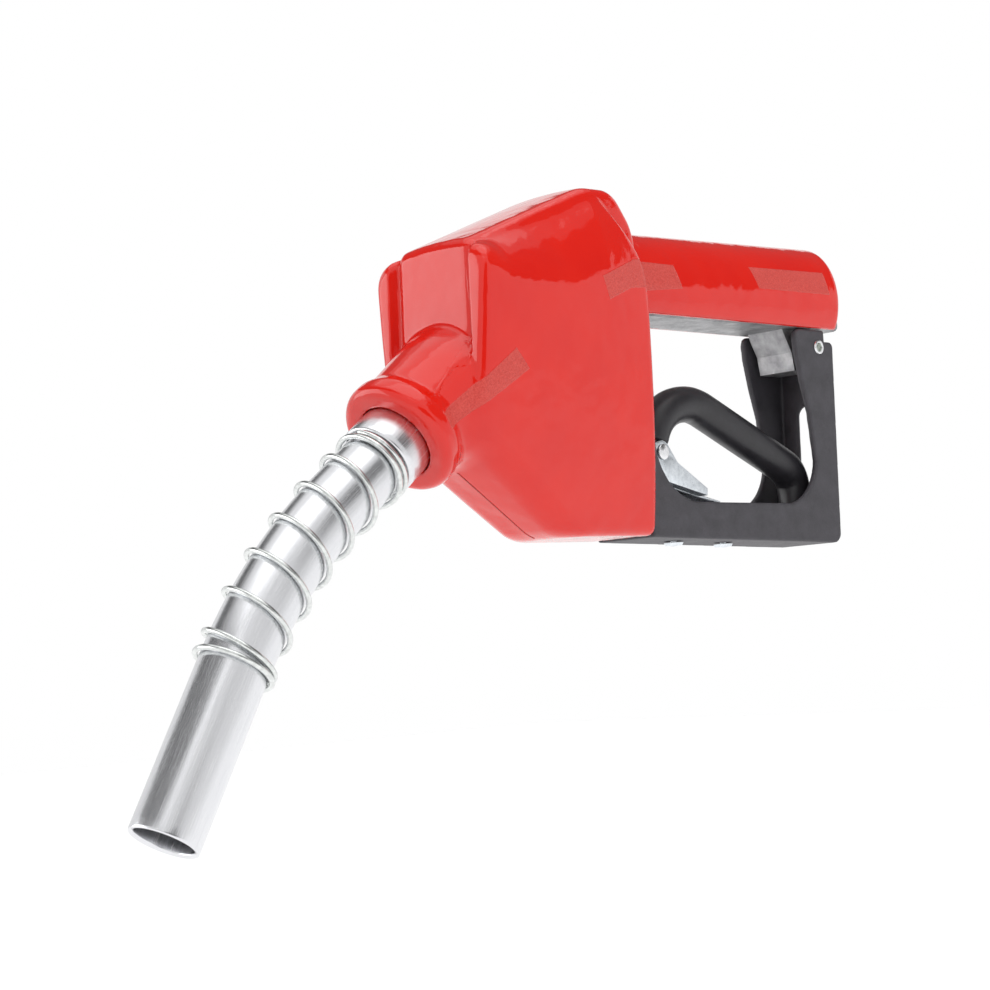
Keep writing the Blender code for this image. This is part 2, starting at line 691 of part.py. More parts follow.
# ---- spout ----
def make_spout_tube():
    bm = bmesh.new()
    add_spout_tube(bm, SPOUT_RADIUS, SPOUT_BORE, 0.0, MOUTH_S + SOCKET_DEPTH - 3.0)
    tube = finish_object("spout_tube", bm, polished_aluminium())
    point, tangent = spout_point(17.0)
    below = Vector((tangent.z, 0, -tangent.x))
    sensing = turned("sensing_hole", rod(1.6, 5.0, 20.0), point, below, 12)
    return cut(tube, sensing)


def make_ferrule():
    bm = bmesh.new()
    add_spout_tube(bm, FERRULE_RADIUS, SPOUT_RADIUS + GAP, MOUTH_S - FERRULE_PROUD, MOUTH_S + 22.0)
    return finish_object("spout_ferrule", bm, polished_aluminium())


def make_spout_seal():
    point, tangent = spout_point(MOUTH_S + 26.0)
    return turned("spout_seal", sleeve(COLLAR_BORE - GAP, SPOUT_RADIUS + GAP, -2.5, 2.5), point, tangent,
                  mat=seal_rubber())


def make_vent_tube():
    bm = bmesh.new()
    add_spout_tube(bm, 2.6, 1.8, 12.0, MOUTH_S + 13.0, 12, drop=6.9)
    return finish_object("vent_tube", bm, polished_aluminium())


def make_anchor_spring():
    """Left-handed wire round the spout, closed at both ends and open between them."""
    steps_per_turn = 18
    end = MOUTH_S - FERRULE_PROUD - COIL_WIRE - 0.4
    open_length = COIL_OPEN_TURNS * COIL_PITCH
    closed_length = COIL_CLOSED_TURNS * COIL_CLOSED_PITCH
    start = end - open_length - 2 * closed_length
    turns = COIL_OPEN_TURNS + 2 * COIL_CLOSED_TURNS
    centres = []
    radials = []
    s = start
    count = round(turns * steps_per_turn)
    for i in range(count + 1):
        point, tangent = spout_point(s)
        normal = Vector((-tangent.z, 0, tangent.x))
        angle = -math.tau * i / steps_per_turn - math.pi / 2
        radial = math.cos(angle) * normal + math.sin(angle) * Vector((0, 1, 0))
        centres.append(point + COIL_RADIUS * radial)
        radials.append(radial)
        turn = i / steps_per_turn
        closed = turn < COIL_CLOSED_TURNS or turn >= turns - COIL_CLOSED_TURNS
        s += (COIL_CLOSED_PITCH if closed else COIL_PITCH) / steps_per_turn
    bm = bmesh.new()
    add_coil(bm, centres, radials, COIL_WIRE, 6)
    return finish_object("anchor_spring", bm, spring_steel())


def make_check_seat():
    point, tangent = spout_point(MOUTH_S + SOCKET_DEPTH - 1.8)
    return turned("check_seat", sleeve(COLLAR_BORE - GAP, 6.2, -0.5, 1.4), point, tangent, mat=brass())


def check_axis():
    return spout_point(MOUTH_S + SOCKET_DEPTH - 1.8)


def make_check_poppet():
    point, tangent = check_axis()
    profile = [(0, -6.5), (2.0, -6.5), (2.0, -3.4), (7.4, -3.0), (7.4, -0.9), (5.4, -0.9), (5.0, 1.0), (0, 1.0)]
    return turned("check_poppet", profile, point, tangent, 20, brass())


def make_check_spring():
    point, tangent = check_axis()
    return straight_spring("check_spring", point - tangent * 14.8, tangent, 7.9, 3.6, 0.5, 5, 10)


def make_check_guide():
    """A spider in the spout's end that carries the check spring."""
    point, tangent = check_axis()
    profile = [(0, -16.6), (5.2, -16.6), (5.2, -15.1), (0, -15.1)]
    guide = turned("check_guide", profile, point, tangent, 18, brass())
    for angle in (30, 150, 270):
        side = tangent.orthogonal().normalized()
        side.rotate(Matrix.Rotation(math.radians(angle), 3, tangent))
        arm = turned("arm", rod(0.7, 4.0, SPOUT_BORE - 0.4), point - tangent * 15.85, side, 8)
        join(guide, arm)
    return guide


# ---- lever guard ----
def guard_outline():
    """Side plate: front tongue, window edge, rear leg with its step, floor."""
    front = [(-172.0, -96.0), (-172.0, -57.0), (-127.0, -57.0)]
    window = arc((-96.5, -65.0), 24.5, 180, 270, 8)
    heel = [(-42.0, -90.0)] + arc((-41.5, -69.5), 20.6, 276, 352, 7)
    leg = [(-23.2, -52.3), (-26.8, -39.7), (-29.3, -28.0), (-29.8, -21.5), (-28.6, -18.6), (-26.0, -17.8)]
    step = [(-9.6, -17.8), (-9.6, -22.5)] + arc((-6.3, -24.7), 2.2, 90, 5, 3)
    corner = arc((-12.0, -102.0), 4.3, 0, -88, 5)
    return front + window + heel + leg + step + corner + [(-125.8, -103.0), (-125.8, -96.0)]


def guard_inside():
    """What the channel leaves empty, in front of its web and above its floor."""
    return [(-190.0, -40.0), (-190.0, -110.0), (-127.0, -110.0), (-126.0, -100.5), (-14.0, -103.7),
            (-10.2, -101.0), (-7.7, -60.0), (-6.6, -36.0), (0.0, -36.0), (0.0, -10.0), (-60.0, -10.0)]


def make_guard():
    guard = prism("lever_guard", guard_outline(), -GUARD_HALF_WIDTH, GUARD_HALF_WIDTH, black_plastic())
    half = GUARD_HALF_WIDTH - GUARD_WALL
    inside = prism("guard_inside", guard_inside(), -half, half)
    slot_box = box("web_slot", (-20.0, -4.2, -88.0), (5.0, 4.2, -52.0))
    slot_top = turned("slot_top", rod(4.2, -20.0, 5.0), (0, 0, -52.0), (1, 0, 0), 16)
    rivet = turned("rivet_hole", rod(GUARD_PIN_RADIUS + GAP, -20, 20), (GUARD_PIN[0], 0, GUARD_PIN[1]),
                   (0, 1, 0), SMALL_STEPS)
    rack_holes = [turned("rack_hole", rod(2.3, -110, -95), (x, 0, 0), (0, 0, 1), 12) for x in RACK_SCREW_X]
    side_holes = [turned("side_hole", rod(2.1, -20, 20), (x, 0, z), (0, 1, 0), 12) for x, z in GUARD_SCREWS]
    return tidy_mesh(cut(guard, inside, slot_box, slot_top, rivet, *rack_holes, *side_holes))


def floor_height(x):
    """Top of the guard's sloping floor."""
    return -100.5 + (x + 126.0) * (-103.7 + 100.5) / (-14.0 + 126.0)


def make_rack():
    """Notched strip on the guard's floor that the hold-open clip catches."""
    low = floor_height(-58.0) + GAP
    teeth = []
    for x in (-66.0, -74.0, -82.0, -90.0):
        teeth += [(x + 3.0, -99.8), (x - 1.5, -99.2), (x - 2.0, -99.8)]
    outline = [(-104.0, floor_height(-104.0) + GAP), (-60.0, floor_height(-60.0) + GAP), (-60.0, -99.8)]
    outline += teeth + [(-104.0, -99.8)]
    rack = prism("hold_open_rack", outline, -7.0, 7.0, zinc_steel())
    holes = [turned("rack_hole", rod(1.7, -110, -90), (x, 0, 0), (0, 0, 1), 12) for x in RACK_SCREW_X]
    return cut(rack, *holes)


def make_rack_screws():
    for x, name in zip(RACK_SCREW_X, ("rack_screw_front", "rack_screw_rear")):
        face = floor_height(x) - GUARD_WALL
        profile = [(0, face - 2.0), (3.4, face - 1.6), (3.9, face - 0.6), (1.3, face - 0.6), (1.3, -100.4),
                   (0, -100.4)]
        turned(name, profile, (x, 0, 0), (0, 0, 1), 12, zinc_steel())


def make_guard_screws():
    profile = [(0, 8.0), (1.8, 8.0), (1.8, GUARD_HALF_WIDTH + GAP), (3.4, GUARD_HALF_WIDTH + GAP),
               (3.0, GUARD_HALF_WIDTH + 1.7), (0, GUARD_HALF_WIDTH + 1.9)]
    for (x, z), place in zip(GUARD_SCREWS, ("front", "rear")):
        for side, hand in ((-1, "near"), (1, "far")):
            turned(f"guard_screw_{place}_{hand}", profile, (x, 0, z), (0, side, 0), 12, zinc_steel())


def make_guard_rivet():
    head = GUARD_HALF_WIDTH + GAP
    profile = [(2.1, -head - 0.6), (4.1, -head - 0.6), (4.1, -head), (GUARD_PIN_RADIUS, -head),
               (GUARD_PIN_RADIUS, head), (4.1, head), (4.1, head + 0.6), (2.1, head + 0.6)]
    return turned("guard_rivet", profile, (GUARD_PIN[0], 0, GUARD_PIN[1]), (0, 1, 0), SMALL_STEPS, zinc_steel())


# ---- lever and hold-open clip ----
def fork_outline():
    front = arc((PLUNGER_X, PIVOT_Z), 4.6, 90, 270, 8)
    below = [(-136.0, -91.5), (-122.0, -84.0)]
    rear = arc(CLIP_PIVOT, 5.0, -50, 70, 6)
    return front + below + rear + [(-116.0, -69.0), (-128.0, -80.0), (-136.0, -86.2), (-160.0, -86.2)]


def make_fork():
    """Steel front of the lever: two cheeks joined by the pad that lifts the stem."""
    fork = prism("lever_fork", fork_outline(), -6.0, 6.0, zinc_steel(), (PLUNGER_X, 0, PIVOT_Z))
    between = prism("between", [(-190, -60), (-190, -100), (-162.0, -100), (-162.0, -88.2), (-138.0, -88.2),
                                (-138.0, -100), (-100, -100), (-100, -60), (-138.0, -60), (-138.0, -84),
                                (-162.0, -84), (-162.0, -60)], -4.0, 4.0)
    pivot_hole = turned("pivot_hole", rod(2.3, -10, 10), (PLUNGER_X, 0, PIVOT_Z), (0, 1, 0), 12)
    clip_hole = turned("clip_hole", rod(2.3, -10, 10), (CLIP_PIVOT[0], 0, CLIP_PIVOT[1]), (0, 1, 0), 12)
    return cut(fork, between, pivot_hole, clip_hole)


LEVER_PATH = (
    (-106.5, -63.0), (-104.0, -57.5), (-100.0, -52.4), (-94.5, -48.8), (-88.0, -47.8), (-81.0, -49.5),
    (-74.0, -52.5), (-29.0, -72.0), (-24.0, -75.0), (-21.0, -79.0), (-20.0, -84.0), (-20.2, -96.0),
)
LEVER_TAPER = (7.0, 7.6, 8.2, LEVER_RADIUS, LEVER_RADIUS, LEVER_RADIUS, LEVER_RADIUS, LEVER_RADIUS, 8.2, 7.8, 7.2, 6.6)


def make_grip():
    """Plastisol-coated rear of the lever, with the tang that sits between the cheeks."""
    bm = bmesh.new()
    centres = [Vector((x, 0, z)) for x, z in LEVER_PATH]
    add_sweep(bm, centres, LEVER_TAPER, 20)
    grip = finish_object("lever_grip", bm, black_coating(), (PLUNGER_X, 0, PIVOT_Z))
    tang = prism("tang", arc(CLIP_PIVOT, 4.6, 200, 340, 6) + [(-101.5, -60.0), (-110.5, -58.0)], -3.6, 3.6)
    join(grip, tang)
    hole = turned("tang_hole", rod(2.3, -10, 10), (CLIP_PIVOT[0], 0, CLIP_PIVOT[1]), (0, 1, 0), 12)
    cheeks = [box("cheek_room", (-120.0, low, -80.0), (-103.5, low + 5.0, -64.2)) for low in (3.6, -8.6)]
    return cut(grip, hole, *cheeks)


def make_lever_pin():
    profile = [(0, -7.6), (3.0, -7.6), (3.0, -6.4), (1.9, -6.4), (1.9, 6.4), (3.0, 6.4), (3.0, 7.6), (0, 7.6)]
    return turned("lever_pin", profile, (PLUNGER_X, 0, PIVOT_Z), (0, 1, 0), 12, zinc_steel())


def make_clip():
    """Bent sheet clip: two ears on the rivet and a tongue that catches the rack."""
    ear = arc(CLIP_PIVOT, 4.6, 40, 200, 7)
    skirt = [(-107.2, -81.3), (-84.6, -86.4), (-84.3, -83.6), (-101.3, -73.6)]
    clip = prism("hold_open_clip", ear + skirt, -7.9, 7.9, zinc_steel(), (CLIP_PIVOT[0], 0, CLIP_PIVOT[1]))
    between = prism("between_ears", [(-130.0, -60.0), (-130.0, -90.0), (-107.0, -79.4), (-84.5, -84.2),
                                     (-70.0, -87.3), (-70.0, -60.0)], -6.7, 6.7)
    cut(clip, between)
    tongue = prism("tongue", [(-107.0, -80.6), (-107.0, -81.7), (-84.6, -86.7), (-72.0, -89.2), (-71.5, -88.3),
                              (-84.4, -85.6)], -3.4, 3.4)
    join(clip, tongue)
    hole = turned("ear_hole", rod(2.3, -12, 12), (CLIP_PIVOT[0], 0, CLIP_PIVOT[1]), (0, 1, 0), 12)
    return cut(clip, hole)


def make_clip_rivet():
    profile = [(0, -8.9), (3.1, -8.9), (3.1, -8.2), (1.8, -8.2), (1.8, 8.2), (3.1, 8.2), (3.1, 8.9), (0, 8.9)]
    return turned("clip_rivet", profile, (CLIP_PIVOT[0], 0, CLIP_PIVOT[1]), (0, 1, 0), 12, zinc_steel())


MAKERS = (
    make_cover, make_casting, make_inlet_strainer, make_inlet_seal, make_valve_cap, make_valve_seat,
    make_main_poppet, make_poppet_seal, make_valve_stem, make_main_spring, make_packing_seal, make_packing_nut,
    make_latch_plunger, make_latch_rollers, make_plunger_spring, make_latch_pin, make_diaphragm,
    make_diaphragm_spring, make_diaphragm_cap, make_cap_screws, make_spout_tube, make_ferrule, make_spout_seal,
    make_vent_tube, make_anchor_spring, make_check_seat, make_check_poppet, make_check_spring, make_check_guide,
    make_guard, make_rack, make_rack_screws, make_guard_screws, make_guard_rivet, make_fork, make_grip,
    make_lever_pin, make_clip, make_clip_rivet,
)


def main():
    clear_scene()
    for maker in MAKERS:
        maker()


main()
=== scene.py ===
"""Looks of an automatic fuel nozzle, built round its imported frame.

Lengths are in millimetres in the frame's own axes: the origin is the centre of
the hose inlet face, +X is the way the hose leaves and +Z is up. A mesh is
scaled to metres when it is made.
"""

import itertools
import json
import math

import bmesh
import bpy
import numpy as np
from mathutils import Matrix, Vector

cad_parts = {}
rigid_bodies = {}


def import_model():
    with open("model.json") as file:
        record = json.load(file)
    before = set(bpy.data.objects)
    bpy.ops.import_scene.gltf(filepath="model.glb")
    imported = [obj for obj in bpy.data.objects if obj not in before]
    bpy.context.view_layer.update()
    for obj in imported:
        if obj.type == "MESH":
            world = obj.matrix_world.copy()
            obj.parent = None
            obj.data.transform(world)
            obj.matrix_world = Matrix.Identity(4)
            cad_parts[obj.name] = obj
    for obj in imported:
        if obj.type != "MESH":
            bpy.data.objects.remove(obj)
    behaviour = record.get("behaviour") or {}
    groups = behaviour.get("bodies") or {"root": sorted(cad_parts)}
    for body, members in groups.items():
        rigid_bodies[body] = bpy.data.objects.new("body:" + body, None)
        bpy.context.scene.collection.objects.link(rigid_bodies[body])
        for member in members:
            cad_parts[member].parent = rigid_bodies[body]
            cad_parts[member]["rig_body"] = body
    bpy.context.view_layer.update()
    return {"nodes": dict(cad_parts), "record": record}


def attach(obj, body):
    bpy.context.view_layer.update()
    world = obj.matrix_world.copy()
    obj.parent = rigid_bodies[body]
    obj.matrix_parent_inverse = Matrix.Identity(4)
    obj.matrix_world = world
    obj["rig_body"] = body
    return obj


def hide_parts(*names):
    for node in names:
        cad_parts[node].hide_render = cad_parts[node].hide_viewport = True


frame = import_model()
MM = 0.001

# ---- the nozzle's own dimensions; a place in its middle plane is (X, Z) ----
WALL = 2.7
HANDLE_HALF = 18.0
HANDLE_HEIGHT = 23.5
HANDLE_MIDDLE = -4.5
MOUTH = (-240.0, -66.0)
MOUTH_RADIUS = 14.35
COLLAR_ANGLE = math.radians(37.0)
COLLAR_LENGTH = 53.0
COLLAR_RADII = (6.0, 22.2), (12.5, 20.4), (16.0, 20.4), (32.0, 20.6), (52.0, 19.2)
LIP_PROUD = 3.0
TIP_ANGLE = math.radians(59.3)
APEX_DISTANCE = 74.9
TIP_LENGTH = 97.2
TANGENT = 38.0
SPOUT_RADIUS = 11.9
SPOUT_BORE = 10.2
SPOUT_HIDDEN = 30.5
FERRULE_RADIUS = 14.1
FERRULE_PROUD = 14.3
FERRULE_HIDDEN = 22.0
COIL_RADIUS = 13.45
COIL_WIRE = 1.0
COIL_PITCH = 14.9
COIL_OPEN_TURNS = 6
COIL_CLOSED_TURNS = 1.25
COIL_CLOSED_PITCH = 2.3
COIL_START_ANGLE = 2.957
GUARD_HALF = 14.5
GUARD_WALL = 2.5
RIVET_AT = (-14.1, 0.0, -25.0)
RIVET_HOLE = 2.35
SIDE_SCREWS_X = (-166.0, -142.0)
SIDE_SCREWS_Z = -63.0
SIDE_SCREW_HOLE = 2.1
RACK_SCREWS_X = (-97.9, -67.7)
RACK_SCREW_HOLE = 2.3


# ---- meshes ----
def new_object(name, verts, faces, mat, smooth_angle=35.0):
    mesh = bpy.data.meshes.new(name)
    mesh.from_pydata([tuple(v) for v in np.asarray(verts) * MM], [], faces)
    mesh.update()
    obj = bpy.data.objects.new(name, mesh)
    bpy.context.scene.collection.objects.link(obj)
    obj.data.materials.append(mat)
    fix_normals(obj)
    shade(obj, smooth_angle)
    return obj


def fix_normals(obj):
    bm = bmesh.new()
    bm.from_mesh(obj.data)
    bmesh.ops.recalc_face_normals(bm, faces=bm.faces)
    bm.to_mesh(obj.data)
    bm.free()


def shade(obj, angle):
    obj.data.shade_smooth()
    if angle < 180.0:
        obj.data.set_sharp_from_angle(angle=math.radians(angle))


def apply_modifiers(obj):
    graph = bpy.context.evaluated_depsgraph_get()
    mesh = bpy.data.meshes.new_from_object(obj.evaluated_get(graph))
    obj.modifiers.clear()
    obj.data = mesh


def round_edges(obj, width):
    bevel = obj.modifiers.new("Edges", "BEVEL")
    bevel.width = width * MM
    bevel.segments = 2
    bevel.limit_method = "ANGLE"
    bevel.angle_limit = math.radians(30.0)
    bpy.context.view_layer.update()
    apply_modifiers(obj)
    shade(obj, 32.0)


def refined(node, name, width, mat):
    """A copy of a CAD node's mesh with its edges rounded; it stands for that node."""
    source = frame["nodes"][node]
    obj = bpy.data.objects.new(name, source.data.copy())
    bpy.context.scene.collection.objects.link(obj)
    bm = bmesh.new()
    bm.from_mesh(obj.data)
    bmesh.ops.remove_doubles(bm, verts=bm.verts, dist=2e-5)
    bmesh.ops.dissolve_limit(bm, angle_limit=0.02, verts=bm.verts, edges=bm.edges)
    bm.to_mesh(obj.data)
    bm.free()
    round_edges(obj, width)
    obj.data.materials.clear()
    obj.data.materials.append(mat)
    return place(obj, node)


def place(obj, *nodes):
    """Makes a piece ride on, and stand for, these CAD nodes."""
    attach(obj, frame["nodes"][nodes[0]]["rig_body"])
    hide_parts(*nodes)
    return obj


# ---- solid fields: negative inside, in millimetres ----
def smooth_max(a, b, k):
    overlap = np.maximum(k - np.abs(a - b), 0.0)
    return np.maximum(a, b) + overlap * overlap / (4.0 * k)


def smooth_min(a, b, k):
    return -smooth_max(-a, -b, k)


def round_meet(parts, radius):
    """Where faces meet at about a right angle, their edge is rounded to radius."""
    highest = parts[0]
    spread = 0.0
    for part in parts:
        highest = np.maximum(highest, part)
        spread = spread + np.maximum(part + radius, 0.0) ** 2
    return np.minimum(highest, -radius) + np.sqrt(spread)


def edge(x, z, start, end):
    """Distance from a line in the XZ plane, positive on the left of start to end."""
    run, rise = end[0] - start[0], end[1] - start[1]
    size = math.hypot(run, rise)
    return ((x - start[0]) * -rise + (z - start[1]) * run) / size


def eased(t, knots):
    """Values that pass smoothly from knot to knot."""
    out = np.full_like(t, knots[0][1])
    for (t0, v0), (t1, v1) in zip(knots, knots[1:]):
        part = np.clip((t - t0) / (t1 - t0), 0.0, 1.0)
        out = out + (v1 - v0) * part * part * (3.0 - 2.0 * part)
    return out


def polygon_field(x, z, outline):
    """Distance from a closed outline in the XZ plane, negative inside."""
    nearest = np.full(x.shape, 1e9)
    crossings = np.zeros(x.shape, bool)
    for (x0, z0), (x1, z1) in zip(outline, outline[1:] + outline[:1]):
        ex, ez = x1 - x0, z1 - z0
        part = np.clip(((x - x0) * ex + (z - z0) * ez) / (ex * ex + ez * ez), 0.0, 1.0)
        nearest = np.minimum(nearest, (x - x0 - part * ex) ** 2 + (z - z0 - part * ez) ** 2)
        if z0 != z1:
            spans = (z0 > z) != (z1 > z)
            crossings ^= spans & (x < x0 + (z - z0) * ex / ez)
    return np.where(crossings, -1.0, 1.0) * np.sqrt(nearest)


def field_slope(field, points):
    """The field's value and its slope along each axis, at each point."""
    step = 0.02
    value = field(*points.T)
    slopes = [(field(*(points + step * axis).T) - value) / step for axis in np.eye(3)]
    return value, np.stack(slopes, 1)


def net_faces(inside, index):
    """One four-sided face for each grid step that crosses the surface."""
    faces = []
    for axis in range(3):
        a, b = (axis + 1) % 3, (axis + 2) % 3
        low = [slice(1, -1)] * 3
        high = [slice(1, -1)] * 3
        low[axis] = slice(0, -1)
        high[axis] = slice(1, None)
        crossing = inside[tuple(low)] != inside[tuple(high)]
        starts = inside[tuple(low)][crossing]
        at = np.argwhere(crossing)
        at[:, a] += 1
        at[:, b] += 1
        corners = []
        for da, db in ((0, 0), (1, 0), (1, 1), (0, 1)):
            cell = at.copy()
            cell[:, a] -= da
            cell[:, b] -= db
            corners.append(index[tuple(cell.T)])
        quads = np.stack(corners, 1)
        quads[~starts] = quads[~starts][:, ::-1]
        faces.append(quads)
    return np.concatenate(faces)


def surface_of(field, low, high, step, relax=2):
    """Points and faces of a field's zero surface, on a grid of this step."""
    low = np.array(low, float)
    axes = [np.arange(a, b + step, step) for a, b in zip(low, high)]
    value = field(*np.meshgrid(*axes, indexing="ij"))
    inside = value < 0
    ends = (slice(0, -1), slice(1, None))
    count = sum(inside[corner].astype(np.int8) for corner in itertools.product(ends, repeat=3))
    active = (count > 0) & (count < 8)
    index = np.full(active.shape, -1)
    index[active] = np.arange(np.count_nonzero(active))
    points = low + (np.argwhere(active) + 0.5) * step
    faces = net_faces(inside, index)
    for turn in range(relax + 1):
        for _ in range(2):
            f, slope = field_slope(field, points)
            size = np.maximum((slope ** 2).sum(1), 0.05)
            points -= np.clip(f / size, -step, step)[:, None] * slope
        if turn < relax:
            points = relaxed(points, faces)
    return points, faces.tolist()


def relaxed(points, faces):
    """Each point moved part of the way to the middle of the faces round it."""
    total = np.zeros_like(points)
    number = np.zeros(len(points))
    middle = points[faces].mean(1)
    for k in range(4):
        np.add.at(total, faces[:, k], middle)
        np.add.at(number, faces[:, k], 1)
    return 0.35 * points + 0.65 * total / np.maximum(number, 1)[:, None]


# ---- materials ----
def new_material(name, **sockets):
    mat = bpy.data.materials.new(name)
    mat.use_nodes = True
    shader = mat.node_tree.nodes["Principled BSDF"]
    for key, value in sockets.items():
        shader.inputs[key.replace("_", " ")].default_value = value
    return mat


class Nodes:
    """Short names for adding and joining a material's nodes."""

    def __init__(self, mat):
        self.tree = mat.node_tree
        self.shader = self.tree.nodes["Principled BSDF"]
        self.place = self.tree.nodes.new("ShaderNodeTexCoord").outputs["Object"]

    def add(self, kind, **settings):
        node = self.tree.nodes.new(kind)
        for key, value in settings.items():
            setattr(node, key, value)
        return node

    def link(self, source, target):
        self.tree.links.new(source, target)

    def noise(self, scale, detail=3.0, roughness=0.55, stretch=None, where=None):
        node = self.add("ShaderNodeTexNoise")
        node.inputs["Scale"].default_value = scale
        node.inputs["Detail"].default_value = detail
        node.inputs["Roughness"].default_value = roughness
        source = where or self.place
        if stretch:
            scaled = self.add("ShaderNodeMapping")
            scaled.inputs["Scale"].default_value = stretch
            self.link(source, scaled.inputs["Vector"])
            source = scaled.outputs["Vector"]
        self.link(source, node.inputs["Vector"])
        return node.outputs["Fac"]

    def ramp(self, source, stops):
        node = self.add("ShaderNodeValToRGB")
        points = node.color_ramp.elements
        while len(points) < len(stops):
            points.new(0.5)
        for point, (position, colour) in zip(points, stops):
            point.position = position
            shade_of = colour if isinstance(colour, tuple) else (colour, colour, colour)
            point.color = (*shade_of, 1.0)
        self.link(source, node.inputs["Fac"])
        return node.outputs["Color"]

    def math(self, operation, a, b=None, c=None, clamp=False):
        node = self.add("ShaderNodeMath", operation=operation, use_clamp=clamp)
        for socket, value in zip(node.inputs, (a, b, c)):
            if value is None:
                continue
            if isinstance(value, (int, float)):
                socket.default_value = value
            else:
                self.link(value, socket)
        return node.outputs["Value"]

    def mix(self, factor, a, b):
        node = self.add("ShaderNodeMix", data_type="RGBA")
        self.link(factor, node.inputs[0])
        for socket, value in ((node.inputs[6], a), (node.inputs[7], b)):
            if isinstance(value, tuple):
                socket.default_value = (*value, 1.0)
            else:
                self.link(value, socket)
        return node.outputs[2]

    def bump(self, height, distance, strength=1.0, under=None):
        node = self.add("ShaderNodeBump")
        node.inputs["Distance"].default_value = distance
        node.inputs["Strength"].default_value = strength
        self.link(height, node.inputs["Height"])
        if under:
            self.link(under, node.inputs["Normal"])
        return node.outputs["Normal"]

    def to(self, name, source):
        self.link(source, self.shader.inputs[name])


GRAIN_PATCHES = (
    ((-238.0, -60.0), (-206.0, -36.5), (-199.5, -43.5), (-235.5, -65.5)),
    ((-160.1, -7.9), (-141.4, -0.3), (-143.9, -11.0), (-156.4, -16.2)),
    ((-141.4, -0.3), (-122.0, 2.4), (-104.6, 2.4), (-101.4, -6.7), (-132.8, -9.9), (-143.9, -11.0)),
    ((-57.8, 5.2), (-9.8, 6.2), (-8.5, -3.2), (-54.3, -3.4)),
)
PATCH_SHARPNESS = 2500.0


def patch_mask(nodes):
    """One inside the grained panels of the cover, nought outside them, with narrow soft edges."""
    total = None
    for outline in GRAIN_PATCHES:
        depth = None
        for (x0, z0), (x1, z1) in zip(outline, outline[1:] + outline[:1]):
            size = math.hypot(x1 - x0, z1 - z0)
            across = ((z1 - z0) / size, 0.0, -(x1 - x0) / size)
            dot = nodes.add("ShaderNodeVectorMath", operation="DOT_PRODUCT")
            nodes.link(nodes.place, dot.inputs[0])
            dot.inputs[1].default_value = across
            offset = (x0 * across[0] + z0 * across[2]) * MM
            side = nodes.math("SUBTRACT", dot.outputs["Value"], offset)
            depth = side if depth is None else nodes.math("MINIMUM", depth, side)
        total = depth if total is None else nodes.math("MAXIMUM", total, depth)
    return nodes.math("MULTIPLY_ADD", total, PATCH_SHARPNESS, clamp=True)


def red_vinyl():
    """Glossy dipped vinyl, a little uneven, with matt grained panels."""
    mat = new_material("red_vinyl", IOR=1.5, Coat_Weight=0.15, Coat_Roughness=0.03)
    nodes = Nodes(mat)
    mask = patch_mask(nodes)
    body = nodes.ramp(nodes.noise(38.0, 2.0),
                      [(0.3, (0.63, 0.0085, 0.0035)), (0.7, (0.67, 0.012, 0.0045))])
    grain = nodes.noise(1700.0, 3.0, 0.7)
    speckle = nodes.ramp(grain, [(0.35, (0.52, 0.022, 0.014)), (0.68, (0.70, 0.075, 0.055))])
    nodes.to("Base Color", nodes.mix(mask, body, speckle))
    smooth = nodes.ramp(nodes.noise(90.0, 2.0), [(0.3, 0.055), (0.7, 0.09)])
    nodes.to("Roughness", nodes.mix(mask, smooth, (0.5, 0.5, 0.5)))
    ripple = nodes.bump(nodes.noise(60.0, 2.0), 0.0016, 0.5)
    ripple = nodes.bump(nodes.noise(520.0, 2.0), 0.00008, 0.5, ripple)
    height = nodes.math("MULTIPLY", grain, mask)
    nodes.to("Normal", nodes.bump(height, 0.00045, 0.8, ripple))
    return mat


def cast_metal():
    """Bare sand-cast aluminium."""
    mat = new_material("cast_metal", Metallic=0.85)
    nodes = Nodes(mat)
    broad = nodes.noise(120.0, 4.0, 0.6)
    tones = [(0.3, (0.20, 0.20, 0.21)), (0.7, (0.48, 0.48, 0.49))]
    nodes.to("Base Color", nodes.ramp(broad, tones))
    nodes.to("Roughness", nodes.ramp(nodes.noise(900.0, 3.0), [(0.3, 0.38), (0.7, 0.6)]))
    nodes.to("Normal", nodes.bump(nodes.noise(1500.0, 4.0, 0.7), 0.00025, 0.7))
    return mat


def drawn_aluminium():
    """Polished tube with fine lines along it and a few nicks."""
    mat = new_material("drawn_aluminium", Metallic=1.0)
    nodes = Nodes(mat)
    flow = nodes.add("ShaderNodeAttribute", attribute_name="flow").outputs["Vector"]
    lines = nodes.noise(1.0, 4.0, 0.6, (0.6, 60.0, 1.0), flow)
    nicks = nodes.noise(1.0, 2.0, 0.5, (60.0, 30.0, 1.0), flow)
    spots = nodes.ramp(nicks, [(0.70, 0.0), (0.76, 1.0)])
    base = nodes.ramp(lines, [(0.3, (0.67, 0.675, 0.70)), (0.7, (0.79, 0.795, 0.815))])
    nodes.to("Base Color", nodes.mix(spots, base, (0.97, 0.97, 0.98)))
    nodes.to("Roughness", nodes.ramp(lines, [(0.25, 0.17), (0.75, 0.30)]))
    nodes.to("Normal", nodes.bump(lines, 0.00003, 0.6, nodes.bump(spots, 0.00008, 0.6)))
    return mat


